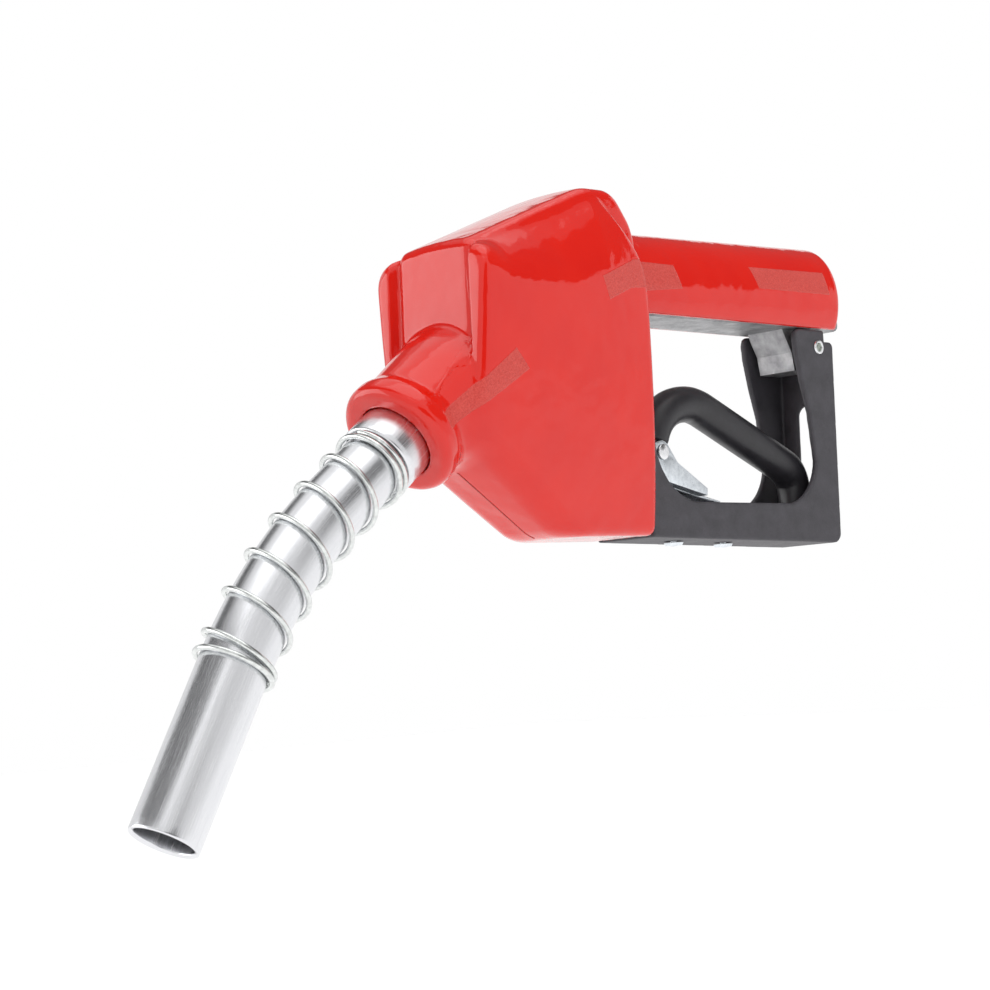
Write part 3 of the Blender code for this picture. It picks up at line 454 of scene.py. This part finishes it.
def metal(name, dark, light, rough, scale=400.0):
    """Machined or plated metal with a faint cloud in its colour and gloss."""
    mat = new_material(name, Metallic=1.0)
    nodes = Nodes(mat)
    cloud = nodes.noise(scale, 4.0, 0.6)
    nodes.to("Base Color", nodes.ramp(cloud, [(0.3, dark), (0.7, light)]))
    wear = nodes.noise(scale * 2.3, 3.0)
    nodes.to("Roughness", nodes.ramp(wear, [(0.3, rough - 0.07), (0.7, rough + 0.08)]))
    nodes.to("Normal", nodes.bump(nodes.noise(scale * 4.0, 3.0), 0.00004, 0.6))
    return mat


def moulded(name, dark, light, rough, grain, depth):
    """Plastic, rubber or a thick coating with a fine moulded grain of this depth."""
    mat = new_material(name, IOR=1.48)
    nodes = Nodes(mat)
    cloud = nodes.noise(140.0, 4.0, 0.6)
    fine = nodes.noise(grain, 3.0, 0.65)
    tone = nodes.math("MULTIPLY_ADD", fine, 0.55, cloud)
    nodes.to("Base Color", nodes.ramp(tone, [(0.55, dark), (1.0, light)]))
    nodes.to("Roughness", nodes.ramp(cloud, [(0.3, rough - 0.06), (0.7, rough + 0.06)]))
    nodes.to("Normal", nodes.bump(fine, depth, 0.7))
    return mat


red = red_vinyl()
cast = cast_metal()
aluminium = drawn_aluminium()
bright = metal("bright_aluminium", (0.78, 0.79, 0.80), (0.90, 0.90, 0.92), 0.2)
zinc = metal("zinc_plate", (0.60, 0.64, 0.68), (0.84, 0.88, 0.92), 0.32, 500.0)
wire = metal("plated_wire", (0.58, 0.60, 0.59), (0.80, 0.82, 0.81), 0.17, 700.0)
brass = metal("valve_brass", (0.60, 0.42, 0.16), (0.82, 0.62, 0.28), 0.3)
charcoal = moulded("guard_charcoal", (0.033, 0.031, 0.037), (0.062, 0.058, 0.068),
                   0.55, 2600.0, 0.00014)
coating = moulded("lever_coating", (0.014, 0.0132, 0.0158), (0.025, 0.0235, 0.028),
                  0.38, 1800.0, 0.00003)
rubber = moulded("seal_rubber", (0.015, 0.015, 0.015), (0.03, 0.03, 0.03), 0.6, 1500.0, 0.00005)
# The parting line's darker red is painted shade: it stands for the shade a groove would show.
painted_groove_shade = moulded("parting_line_painted_shade", (0.30, 0.006, 0.004), (0.42, 0.010, 0.006), 0.3, 900.0, 0.00002)
# The darker metal of the rivet sockets' floors is painted shade inside their recesses.
rivet_socket_painted_shade = metal("rivet_socket_painted_shade", (0.30, 0.33, 0.28), (0.48, 0.52, 0.46), 0.45)

SLOT_MATERIALS = {
    "red_cover": red, "cast_body": cast, "bright_aluminium": bright, "zinc_steel": zinc,
    "spring_wire": wire, "valve_brass": brass, "guard_plastic": charcoal,
    "lever_coating": coating, "seal_rubber": rubber,
}
slot_of = {part["node"]: part["material_slot"] for part in frame["record"]["subparts"]}
for node_name, node_object in frame["nodes"].items():
    node_object.data.materials.clear()
    node_object.data.materials.append(SLOT_MATERIALS[slot_of[node_name]])


# ---- hand cover: the walls of its head run clockwise, each from its start to its end ----
HEAD_TOP = (-217.0, 3.0), (-156.0, 27.3)
HEAD_PEAK = (-156.0, 27.3), (-140.0, 27.6)
HEAD_BACK_SLOPE = (-140.0, 27.6), (-128.0, 11.6)
HEAD_NAPE = (-142.0, 13.0), (-131.5, -6.0)
HEAD_BACK = (-131.0, -25.0), (-126.3, -102.5)
HEAD_BOTTOM = (-126.3, -102.5), (-177.0, -102.5)
HEAD_LOWER_FRONT = (-177.0, -102.5), (-221.0, -69.0)
HEAD_FRONT = (-221.0, -69.0), (-219.0, -5.0)
HEAD_TOP_SLOPE = 0.3984
PEAK_Z = 27.3
BLOCK_HALF = 18.6
CHEEK_HALF = 29.0
CHEEK_PROUD = 2.6
GROOVE_AT = 20.0
GROOVE_BACKING = 7.5
COVER_LOW = (-259.25, -31.0, -105.0)
COVER_HIGH = (3.0, 31.0, 31.0)


def front_x(z):
    """Where the head's front face stands at this height."""
    (x0, z0), (x1, z1) = HEAD_FRONT
    return x1 + (z - z1) * (x1 - x0) / (z1 - z0)


def outside(x, z, line):
    """Distance beyond one of the head's walls."""
    return edge(x, z, *line)


def block_field(x, ay, z):
    """The narrow middle of the head, from its front face to its peak."""
    crown = 1.1 * np.clip(1.0 - (ay / 18.0) ** 2, 0.0, 1.0)
    top = smooth_max(outside(x, z, HEAD_TOP), outside(x, z, HEAD_PEAK), 2.0) - crown
    back = smooth_max(outside(x, z, HEAD_BACK_SLOPE), x + 129.5, 3.0)
    upper = smooth_max(top, back, 4.5)
    front = outside(x, z, HEAD_FRONT)
    return round_meet([ay - BLOCK_HALF, upper, front, -60.0 - z], 3.0)


def cheek_field(x, ay, z):
    """The wide sides of the head, which narrow towards the bottom."""
    below = np.maximum(-z - 5.0, 0.0)
    half = CHEEK_HALF - 0.0504 * below - 0.000724 * below ** 2
    half = half - 0.5 * (np.clip(-196.0 - x, 0.0, 30.0) / 24.0) ** 2
    rear = np.clip((x + 182.0) / 50.0, 0.0, 1.0)
    half = half - 2.4 * rear ** 2 * np.clip((z + 100.0) / 95.0, 0.0, 1.0)
    side = (ay - half) * 0.985
    top_z = np.minimum(HEAD_TOP[0][1] + (x - HEAD_TOP[0][0]) * HEAD_TOP_SLOPE, PEAK_Z) - 0.9
    fall = np.clip(top_z + 4.5, 1.0, 22.0) / 12.5 * eased(x, [(-219.0, 0.5), (-207.0, 1.0)])
    down = smooth_max(ay - 17.0, np.zeros_like(ay), 3.0)
    top = (z - top_z + fall * down) / np.sqrt(1.15 + fall ** 2)
    side = smooth_max(side, top, 7.0)
    crown = 2.6 * np.clip((z + 101.0) / 26.0, 0.0, 1.0) * np.clip(1.0 - ay / 20.0, 0.0, 1.0)
    lower = outside(x, z, HEAD_LOWER_FRONT) - crown
    groove = np.clip((20.9 - ay) / 1.9, 0.0, 1.0) * np.clip((z + 62.0) / 10.0, 0.0, 1.0)
    front = smooth_max(outside(x, z, HEAD_FRONT) - CHEEK_PROUD + 4.4 * groove, lower, 5.0)
    back = smooth_max(outside(x, z, HEAD_BACK), outside(x, z, HEAD_NAPE), 4.0)
    sides = round_meet([side, front], 3.2 + 5.8 * np.clip((-52.0 - z) / 22.0, 0.0, 1.0))
    return round_meet([sides, outside(x, z, HEAD_BOTTOM), back], 3.2)


def handle_field(x, y, z, rear):
    """A bar of oval section that grows narrower and sinks towards the head."""
    part = np.clip(-x / 136.0, -0.2, 1.2)
    half = HANDLE_HALF - 2.0 * part
    drop = (z - HANDLE_MIDDLE + 3.5 * part) / HANDLE_HEIGHT
    reach = np.hypot(y / half, drop)
    slope = np.maximum(np.hypot(y / half ** 2, drop / HANDLE_HEIGHT), 1e-3)
    section = reach * (reach - 1.0) / slope
    section = np.maximum(section, -12.0)
    return round_meet([section, x - rear, -140.0 - x], 4.0)


def collar_coordinates(x, y, z):
    """Depth behind the collar's mouth, and distance from its axis, less at the neck's sides."""
    ux, uz = math.cos(COLLAR_ANGLE), math.sin(COLLAR_ANGLE)
    depth = (x - MOUTH[0]) * ux + (z - MOUTH[1]) * uz
    across = -(x - MOUTH[0]) * uz + (z - MOUTH[1]) * ux
    squeeze = 1.0 - 0.21 * np.clip((depth - 10.0) / 30.0, 0.0, 1.0)
    return depth, np.hypot(across, y * squeeze)


def collar_field(x, y, z):
    depth, reach = collar_coordinates(x, y, z)
    depth = depth + LIP_PROUD
    radius = eased(depth, COLLAR_RADII)
    return round_meet([reach - radius, -depth, depth - COLLAR_LENGTH], 3.8)


def body_field(x, y, z, rear):
    """The cover's outside, as if solid; rear is how far the handle runs at its hose end."""
    ay = np.abs(y)
    head = smooth_min(block_field(x, ay, z), cheek_field(x, ay, z), 1.6)
    whole = smooth_min(head, handle_field(x, y, z, rear), 8.0)
    blend = 1.4 + 6.0 * np.clip((-52.0 - z) / 16.0, 0.0, 1.0)
    return smooth_min(whole, collar_field(x, y, z), blend)


def cover_field(x, y, z):
    """The cover's skin: thicker behind the two grooves, open below and at the mouth."""
    ay = np.abs(y)
    behind_groove = (np.abs(ay - GROOVE_AT) < 4.5) & (z > -58.0)
    backing = np.where(behind_groove, front_x(z) + GROOVE_BACKING - x, -99.0)
    inner = np.maximum(body_field(x, y, z, 14.0) + WALL, backing)
    skin = smooth_max(body_field(x, y, z, 0.0), -inner, 0.8)
    below_handle = np.minimum(x + 128.0, -17.2 - z)
    window = np.minimum(np.minimum(x + 150.0, 15.0 - ay), np.minimum(-17.5 - z, z + 99.5))
    depth, reach = collar_coordinates(x, y, z)
    mouth = np.minimum(MOUTH_RADIUS - reach, 20.0 - depth)
    for opening, soft in ((below_handle, 0.8), (window, 0.8), (mouth, 0.9)):
        skin = smooth_max(skin, opening, soft)
    return skin


def make_cover():
    step = 1.05
    points, faces = surface_of(cover_field, COVER_LOW, COVER_HIGH, step)
    return place(new_object("cover_skin", points, faces, red, 180.0), "hand_cover")


# ---- spout: a straight tip, one bend and a straight root ----
def heading(angle):
    """Direction from the tip towards the head, at this angle above level."""
    return Vector((math.cos(angle), 0.0, math.sin(angle)))


BEND = TIP_ANGLE - COLLAR_ANGLE
BEND_RADIUS = TANGENT / math.tan(BEND / 2)
TIP_STRAIGHT = TIP_LENGTH - TANGENT
BEND_LENGTH = BEND_RADIUS * BEND
MOUTH_S = TIP_STRAIGHT + BEND_LENGTH + APEX_DISTANCE - TANGENT
APEX = Vector((MOUTH[0], 0.0, MOUTH[1])) - heading(COLLAR_ANGLE) * APEX_DISTANCE


def spout_point(s):
    """Place and direction at distance s from the tip along the spout's axis."""
    tip = APEX - heading(TIP_ANGLE) * TIP_LENGTH
    if s <= TIP_STRAIGHT:
        return tip + heading(TIP_ANGLE) * s, heading(TIP_ANGLE)
    angle = TIP_ANGLE - min((s - TIP_STRAIGHT) / BEND_LENGTH, 1.0) * BEND
    start = tip + heading(TIP_ANGLE) * TIP_STRAIGHT
    centre = start + heading(TIP_ANGLE - math.pi / 2) * BEND_RADIUS
    past = max(s - TIP_STRAIGHT - BEND_LENGTH, 0.0)
    point = centre + heading(angle + math.pi / 2) * BEND_RADIUS + heading(angle) * past
    return point, heading(angle)


def ring(centre, along, radius, steps):
    """Points round a circle that faces this way, from its upper side."""
    up = Vector((-along.z, 0.0, along.x))
    turns = [math.tau * k / steps for k in range(steps)]
    return [centre + radius * (math.cos(turn) * up + math.sin(turn) * Vector((0, 1, 0)))
            for turn in turns]


def tube_faces(rows, steps, closed=False):
    """Faces that join rows of points; an open tube's ends are filled, a closed one's rows meet."""
    faces = []
    for i in range(rows if closed else rows - 1):
        here, after = i * steps, (i + 1) % rows * steps
        for k in range(steps):
            m = (k + 1) % steps
            faces.append((here + k, here + m, after + m, after + k))
    if not closed:
        faces.append(tuple(range(steps)))
        faces.append(tuple(range((rows - 1) * steps, rows * steps)))
    return faces


def sweep_profile(name, profile, mat, steps=96):
    """A closed outline of (distance, radius) stations carried round the spout's axis.

    The "flow" attribute lays the polish lines along the tube.
    """
    verts, flow = [], []
    for s, radius in profile:
        verts += ring(*spout_point(s), radius, steps)
        for k in range(steps):
            angle = math.tau * k / steps
            flow.append((s * 0.1, abs(math.sin(angle / 2)) * radius * 0.2, math.cos(angle)))
    obj = new_object(name, verts, tube_faces(len(profile), steps, closed=True), mat, 40.0)
    attribute = obj.data.attributes.new("flow", "FLOAT_VECTOR", "POINT")
    attribute.data.foreach_set("vector", np.array(flow, np.float32).ravel())
    return obj


def stations(start, end, spacing=4.0):
    """Distances from start to end at about this spacing."""
    count = max(2, round((end - start) / spacing))
    return [start + (end - start) * i / count for i in range(count + 1)]


def make_spout():
    """The tube, with a rounded rim at its tip."""
    end = MOUTH_S + SPOUT_HIDDEN
    outer = [(0.15, 11.25), (0.0, 11.45), (0.15, 11.72), (0.5, 11.86), (1.0, SPOUT_RADIUS)]
    outer += [(s, SPOUT_RADIUS) for s in stations(4.0, end)]
    inner = [(s, SPOUT_BORE) for s in reversed(stations(4.0, end))]
    inner += [(1.2, SPOUT_BORE), (0.7, 10.3), (0.25, 10.7)]
    return place(sweep_profile("spout_skin", outer + inner, aluminium), "spout_tube")


def make_ferrule():
    start, end = MOUTH_S - FERRULE_PROUD, MOUTH_S + FERRULE_HIDDEN
    outer = [(start, 12.6), (start, 13.3), (start + 0.25, 13.8), (start + 0.8, FERRULE_RADIUS)]
    outer += [(s, FERRULE_RADIUS) for s in stations(start + 3.0, end)]
    inner = [(s, SPOUT_RADIUS + 0.4) for s in reversed(stations(start + 0.6, end))]
    return place(sweep_profile("ferrule_skin", outer + inner, aluminium), "spout_ferrule")


def coil_path(per_turn):
    """Centres and outward directions of the wire, from the tip's side to the ferrule."""
    last = MOUTH_S - FERRULE_PROUD - COIL_WIRE - 0.4
    turns = COIL_OPEN_TURNS + 2 * COIL_CLOSED_TURNS
    s = last - COIL_OPEN_TURNS * COIL_PITCH - 2 * COIL_CLOSED_TURNS * COIL_CLOSED_PITCH
    path = []
    for i in range(round(turns * per_turn) + 1):
        point, along = spout_point(s)
        up = Vector((-along.z, 0.0, along.x))
        angle = math.tau * i / per_turn + COIL_START_ANGLE
        out = math.cos(angle) * up + math.sin(angle) * Vector((0, 1, 0))
        path.append((point + COIL_RADIUS * out, out))
        turn = i / per_turn
        past_closed = min(turn - COIL_CLOSED_TURNS, turns - COIL_CLOSED_TURNS - turn)
        ease = min(max(past_closed * 4 + 0.5, 0.0), 1.0)
        s += (COIL_CLOSED_PITCH + (COIL_PITCH - COIL_CLOSED_PITCH) * ease) / per_turn
    return path


def wire_mesh(name, path, radius, mat, steps=12):
    """A round wire along (centre, outward direction) stations."""
    verts = []
    count = len(path)
    for i, (centre, out) in enumerate(path):
        along = (path[min(i + 1, count - 1)][0] - path[max(i - 1, 0)][0]).normalized()
        across = along.cross(out).normalized()
        for k in range(steps):
            angle = math.tau * k / steps
            verts.append(centre + radius * (math.cos(angle) * out + math.sin(angle) * across))
    return new_object(name, verts, tube_faces(count, steps), mat, 60.0)


def make_coil():
    return place(wire_mesh("anchor_wire", coil_path(56), COIL_WIRE, wire), "anchor_spring")


# ---- lever guard ----
def arc(centre, radius, start, end, steps):
    """Points along an arc, from and to these angles in degrees."""
    turns = [math.radians(start + (end - start) * i / steps) for i in range(steps + 1)]
    return [(centre[0] + radius * math.cos(a), centre[1] + radius * math.sin(a)) for a in turns]


GUARD_OUTLINE = (
    [(-172.0, -96.0), (-172.0, -57.0), (-127.0, -57.0)] + arc((-96.5, -65.0), 24.5, 180, 270, 22)
    + [(-42.0, -90.0)] + arc((-41.5, -69.5), 20.6, 276, 352, 20)
    + [(-23.2, -52.3), (-26.8, -39.7), (-29.3, -28.0), (-29.8, -21.5), (-28.9, -19.0),
       (-27.4, -18.0), (-26.0, -17.8), (-9.6, -17.8), (-9.6, -22.5)]
    + arc((-6.3, -24.7), 2.2, 90, 5, 6)
    + arc((-12.0, -102.0), 4.3, 0, -88, 10) + [(-125.8, -103.0), (-125.8, -96.0)]
)
GUARD_INSIDE = [
    (-190.0, -40.0), (-190.0, -110.0), (-127.0, -110.0), (-126.0, -100.5), (-14.0, -103.7),
    (-10.2, -101.0), (-7.7, -60.0), (-6.3, -27.0), (0.0, -27.0), (0.0, -10.0), (-60.0, -10.0),
]


def guard_field(x, y, z):
    """A folded channel with two side walls, a slot in its rear web and its screws' holes."""
    ay = np.abs(y)
    on_grid = x.ndim == 3
    px, pz = (x[:, :1, :], z[:, :1, :]) if on_grid else (x, z)
    shell = round_meet([polygon_field(px, pz, GUARD_OUTLINE) + 0.0 * ay, ay - GUARD_HALF], 0.8)
    hollow = np.maximum(polygon_field(px, pz, GUARD_INSIDE) + 0.0 * ay,
                        ay - (GUARD_HALF - GUARD_WALL))
    slot_end = np.sqrt(ay ** 2 + np.clip(z + 52.0, 0.0, None) ** 2) - 4.2
    slot = np.maximum(np.maximum(slot_end, -88.0 - z), -20.0 - x)
    holes = [np.sqrt((x - RIVET_AT[0]) ** 2 + (z - RIVET_AT[2]) ** 2) - RIVET_HOLE]
    holes += [np.sqrt((x - at) ** 2 + (z - SIDE_SCREWS_Z) ** 2) - SIDE_SCREW_HOLE
              for at in SIDE_SCREWS_X]
    holes += [np.maximum(np.sqrt((x - at) ** 2 + ay ** 2) - RACK_SCREW_HOLE, z + 95.0)
              for at in RACK_SCREWS_X]
    for opening in [hollow, slot] + holes:
        shell = smooth_max(shell, -opening, 0.9)
    return shell


def make_guard():
    step = 0.8
    points, faces = surface_of(guard_field, (-174.0, -16.0, -108.0), (-2.0, 16.0, -16.0), step, 1)
    return place(new_object("guard_skin", points, faces, charcoal, 180.0), "lever_guard")


# ---- lever ----
GRIP_RADIUS = 7.2
GRIP_PATH = (
    (-106.6, -65.0, 6.2), (-104.8, -59.6, 6.8), (-101.6, -55.2, 7.1), (-96.6, -51.9, GRIP_RADIUS),
    (-90.6, -50.0, GRIP_RADIUS), (-84.0, -49.5, GRIP_RADIUS), (-78.0, -50.7, GRIP_RADIUS),
    (-72.0, -53.1, GRIP_RADIUS), (-51.5, -61.95, GRIP_RADIUS), (-29.0, -71.7, GRIP_RADIUS),
    (-23.2, -75.0, GRIP_RADIUS), (-20.2, -79.0, 7.0), (-19.2, -84.0, 6.8), (-19.4, -96.0, 6.4),
)


def catmull(values, spans):
    """A smooth run of values through the given ones."""
    values = [Vector(v) for v in values]
    padded = [2 * values[0] - values[1]] + values + [2 * values[-1] - values[-2]]
    out = []
    for a, b, c, d in zip(padded, padded[1:], padded[2:], padded[3:]):
        for i in range(spans):
            t = i / spans
            out.append(0.5 * (2 * b + (c - a) * t + (2 * a - 5 * b + 4 * c - d) * t * t
                              + (3 * b - a - 3 * c + d) * t ** 3))
    return out + [values[-1]]


def rounded_bar(name, path, mat, steps=40):
    """A round bar along (x, z, radius) points in the middle plane, with domed ends."""
    rows = []
    for i, (x, z, radius) in enumerate(path):
        ahead, behind = path[min(i + 1, len(path) - 1)], path[max(i - 1, 0)]
        along = Vector((ahead[0] - behind[0], 0.0, ahead[1] - behind[1])).normalized()
        rows.append((Vector((x, 0.0, z)), along, radius))
    turns = (0.35, 0.7, 1.1, 1.5)
    c, a, r = rows[0]
    front = [(c - a * 1.6 * math.sin(t), a, r * (0.72 + 0.28 * math.cos(t))) for t in turns]
    c, a, r = rows[-1]
    tail = [(c + a * 2.4 * math.sin(t), a, r * (0.45 + 0.55 * math.cos(t))) for t in turns]
    rows = front[::-1] + rows + tail
    verts = [point for row in rows for point in ring(*row, steps)]
    return new_object(name, verts, tube_faces(len(rows), steps), mat, 60.0)


def make_grip():
    """The coated bar, and the bare tang that joins it to the fork."""
    path = [p for p in catmull(GRIP_PATH, 5) if p[1] > -64.0 or p[0] > -95.0]
    place(rounded_bar("grip_coating", [tuple(p) for p in path], coating), "lever_grip")
    foot = arc((-110.0, -69.7), 4.6, 200, 340, 10)
    tang = prism("grip_tang", foot + [(-101.5, -60.0), (-110.5, -58.0)], 3.6)
    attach(tang, "lever")


def prism(name, outline, half):
    """A flat plate of this outline, half as thick on each side of the middle plane."""
    verts = [(x, side * half, z) for side in (-1, 1) for x, z in outline]
    n = len(outline)
    faces = [tuple(range(n)), tuple(range(n, 2 * n))]
    faces += [(i, (i + 1) % n, n + (i + 1) % n, n + i) for i in range(n)]
    obj = new_object(name, verts, faces, zinc)
    round_edges(obj, 0.5)
    return obj


# ---- hardware ----
def turned(name, profile, centre, axis, mat, steps=48):
    """A closed (radius, height) outline turned round an axis.

    A negative radius makes a hexagon, with that distance to its flats.
    """
    turn = Vector((0, 0, 1)).rotation_difference(Vector(axis)).to_matrix()
    verts, faces, rings = [], [], []
    for radius, height in profile:
        count = 1 if abs(radius) < 1e-6 else steps
        rings.append(list(range(len(verts), len(verts) + count)))
        for k in range(count):
            angle = math.tau * k / steps
            flat = math.cos(angle % (math.pi / 3) - math.pi / 6)
            reach = radius if radius >= 0 else -radius / flat
            local = Vector((reach * math.cos(angle), reach * math.sin(angle), height))
            verts.append(Vector(centre) + turn @ local)
    for a, b in zip(rings, rings[1:] + rings[:1]):
        for k in range(steps):
            m = (k + 1) % steps
            corners = [a[k % len(a)], a[m % len(a)], b[m % len(b)], b[k % len(b)]]
            unique = tuple(dict.fromkeys(corners))
            if len(unique) > 2:
                faces.append(unique)
    return new_object(name, verts, faces, mat, 35.0)


def make_rivet():
    """A hollow rivet through the guard, with a six-sided socket in each head; a darker disc in each
    socket is painted shade.
    """
    top = GUARD_HALF + 0.55
    half = [(-1.75, 13.6), (-1.8, top - 0.15), (-1.95, top), (2.55, top + 0.05), (2.85, top - 0.1),
            (3.0, top - 0.45), (2.9, GUARD_HALF - 0.05), (2.25, GUARD_HALF - 0.1)]
    profile = [(0.0, 13.6)] + half + [(r, -h) for r, h in reversed(half)] + [(0.0, -13.6)]
    place(turned("rivet_bright", profile, RIVET_AT, (0, 1, 0), bright, 72), "guard_rivet")
    # These darker discs sit in the sockets as painted shade.
    floor = [(0, 13.2), (-1.7, 13.2), (-1.7, 13.9), (-1.0, 14.2), (0, 14.2)]
    for name, side in (("rivet_socket_near", -1), ("rivet_socket_far", 1)):
        socket = turned(name, floor, RIVET_AT, (0, side, 0), rivet_socket_painted_shade, 72)
        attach(socket, "nozzle")


def make_parting_line():
    """A thin raised line down the middle of the cover's lower front, left by its mould; its dark
    red is painted shade, standing for the shade in a groove.
    """
    start, end = np.array((-213.5, 0.0, -80.0)), np.array((-176.5, 0.0, -103.5))
    points = np.array([start + (end - start) * i / 60 for i in range(61)])

    def outer(x, y, z):
        return body_field(x, y, z, 0.0)

    for _ in range(12):
        value, slope = field_slope(outer, points)
        slope[:, 1] = 0.0
        points -= (value / np.maximum((slope ** 2).sum(1), 0.05))[:, None] * slope
    _, slope = field_slope(outer, points)
    slope[:, 1] = 0.0
    normals = slope / np.linalg.norm(slope, axis=1)[:, None]
    path = [(Vector(point - 0.12 * n), Vector(n)) for point, n in zip(points, normals)]
    line = wire_mesh("parting_line", path, 0.34, painted_groove_shade, 8)
    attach(line, "nozzle")


# ---- stage: levels are (position, brightness) ----
CAMERA_AT = (-0.76799, -0.57281, -0.14199)
CAMERA_TURN = (-45.02, -3.96, -3.68)
CAMERA_LENS = 81.8
FLOOR_Z = -450.0
FLOOR_HALF = 6000.0
CANOPY = (0.0, 0.88), (0.499, 0.88), (0.507, 0.13), (0.74, 0.15), (0.77, 1.0)
CANOPY_EDGE = 0.47
CANOPY_LIFT = (-0.21, -0.18, 0.0)
CANOPY_DIP = (0.78, -1.04, 0.0)
DIP_START = 0.975
HOT_DIRECTION = (-0.72, 0.68, 0.12)
HOT_START = 0.86
HOT_EXTRA = 2.0
GAP_DIRECTION = (-0.32, -0.945, -0.05)
GAP_EDGE = (0.0, 1.0), (0.90, 1.0), (0.915, 0.10), (1.0, 0.10)


def make_camera():
    azimuth, elevation, roll = (math.radians(angle) for angle in CAMERA_TURN)
    level = math.cos(elevation)
    back = Vector((math.sin(azimuth) * level, -math.cos(azimuth) * level, math.sin(elevation)))
    right = Vector((math.cos(azimuth), math.sin(azimuth), 0.0))
    up = back.cross(right)
    across = math.cos(roll) * right + math.sin(roll) * up
    above = -math.sin(roll) * right + math.cos(roll) * up
    data = bpy.data.cameras.new("camera")
    data.lens = CAMERA_LENS
    data.sensor_width = 36.0
    data.clip_start = 0.01
    data.clip_end = 50.0
    camera = bpy.data.objects.new("camera", data)
    bpy.context.scene.collection.objects.link(camera)
    turn = Matrix((across, above, back)).transposed()
    camera.matrix_world = Matrix.Translation(CAMERA_AT) @ turn.to_4x4()
    bpy.context.scene.camera = camera


def make_world():
    """Plain white all round, but glossy surfaces reflect a studio.

    That studio is bright low down, dark under a canopy overhead and in one small gap, and has
    one hot side.
    """
    world = bpy.data.worlds.new("studio")
    bpy.context.scene.world = world
    world.use_nodes = True
    tree = world.node_tree
    tree.nodes.clear()

    def add(kind, **settings):
        node = tree.nodes.new(kind)
        for key, value in settings.items():
            setattr(node, key, value)
        return node

    def link(source, target):
        tree.links.new(source, target)

    def calculate(operation, a, b, clamp=False):
        node = add("ShaderNodeMath", operation=operation, use_clamp=clamp)
        for socket, value in zip(node.inputs, (a, b)):
            if isinstance(value, (int, float)):
                socket.default_value = value
            else:
                link(value, socket)
        return node.outputs[0]

    def dot(direction):
        node = add("ShaderNodeVectorMath", operation="DOT_PRODUCT")
        link(sky.outputs["Generated"], node.inputs[0])
        node.inputs[1].default_value = direction
        return node.outputs["Value"]

    def ramp(source, stops):
        node = add("ShaderNodeValToRGB")
        points = node.color_ramp.elements
        while len(points) < len(stops):
            points.new(0.5)
        for point, (position, level) in zip(points, stops):
            point.position = position
            point.color = (level, level, level, 1.0)
        link(source, node.inputs[0])
        return node.outputs[0]

    sky = add("ShaderNodeTexCoord")
    lift = calculate("MAXIMUM", dot(CANOPY_LIFT), 0.0)
    dip = calculate("MAXIMUM", calculate("SUBTRACT", dot(CANOPY_DIP), DIP_START), 0.0)
    up = dot((0.0, 0.0, 1.0))
    low = calculate("SUBTRACT", calculate("SUBTRACT", up, lift), CANOPY_EDGE)
    low = calculate("ADD", low, dip)
    low = calculate("ADD", calculate("MINIMUM", low, 0.25), 0.5)
    top = calculate("MULTIPLY", calculate("SUBTRACT", up, 0.80), 12.0, clamp=True)
    canopy = ramp(calculate("ADD", low, calculate("MULTIPLY", top, 0.3)), CANOPY)
    gap = ramp(dot(GAP_DIRECTION), GAP_EDGE)
    hot = calculate("SUBTRACT", dot(HOT_DIRECTION), HOT_START)
    hot = calculate("MULTIPLY", hot, 20.0, clamp=True)
    boost = calculate("ADD", calculate("MULTIPLY", hot, HOT_EXTRA), 1.0)
    level = calculate("MULTIPLY", calculate("MULTIPLY", canopy, gap), boost)
    shine = add("ShaderNodeBackground")
    link(level, shine.inputs["Color"])
    plain = add("ShaderNodeBackground")
    plain.inputs["Color"].default_value = (1.0, 1.0, 1.0, 1.0)
    seen = add("ShaderNodeLightPath")
    mix = add("ShaderNodeMixShader")
    output = add("ShaderNodeOutputWorld")
    link(seen.outputs["Is Glossy Ray"], mix.inputs[0])
    link(plain.outputs[0], mix.inputs[1])
    link(shine.outputs[0], mix.inputs[2])
    link(mix.outputs[0], output.inputs[0])


def make_light(name, place_at, aim, size, power):
    data = bpy.data.lights.new(name, "AREA")
    data.shape = "RECTANGLE"
    data.size, data.size_y = size
    data.energy = power
    light = bpy.data.objects.new(name, data)
    bpy.context.scene.collection.objects.link(light)
    light.location = place_at
    light.rotation_euler = (Vector(aim) - Vector(place_at)).to_track_quat("-Z", "Y").to_euler()


def make_floor():
    corners = ((-1, -1), (1, -1), (1, 1), (-1, 1))
    verts = [(x * FLOOR_HALF, y * FLOOR_HALF, FLOOR_Z) for x, y in corners]
    pale = new_material("pale_floor", Roughness=0.9)
    nodes = Nodes(pale)
    nodes.to("Base Color", nodes.ramp(nodes.noise(3.0, 2.0), [(0.3, 0.965), (0.7, 0.98)]))
    nodes.shader.inputs["Emission Color"].default_value = (1.0, 1.0, 1.0, 1.0)
    nodes.shader.inputs["Emission Strength"].default_value = 0.06
    floor = new_object("floor", verts, [(0, 1, 2, 3)], pale)


bpy.context.scene.view_settings.view_transform = "Standard"
make_cover()
make_spout()
make_ferrule()
make_coil()
make_guard()
make_grip()
make_rivet()
make_parting_line()
refined("hold_open_clip", "clip_plate", 0.3, zinc)
refined("lever_fork", "fork_plate", 0.4, zinc)
refined("hold_open_rack", "rack_plate", 0.25, zinc)
refined("clip_rivet", "clip_rivet_head", 0.4, bright)
make_camera()
make_world()
make_floor()
make_light("key", (-0.5, -0.9, 2.4), (-0.17, 0.0, -0.06), (3.0, 3.0), 22.0)
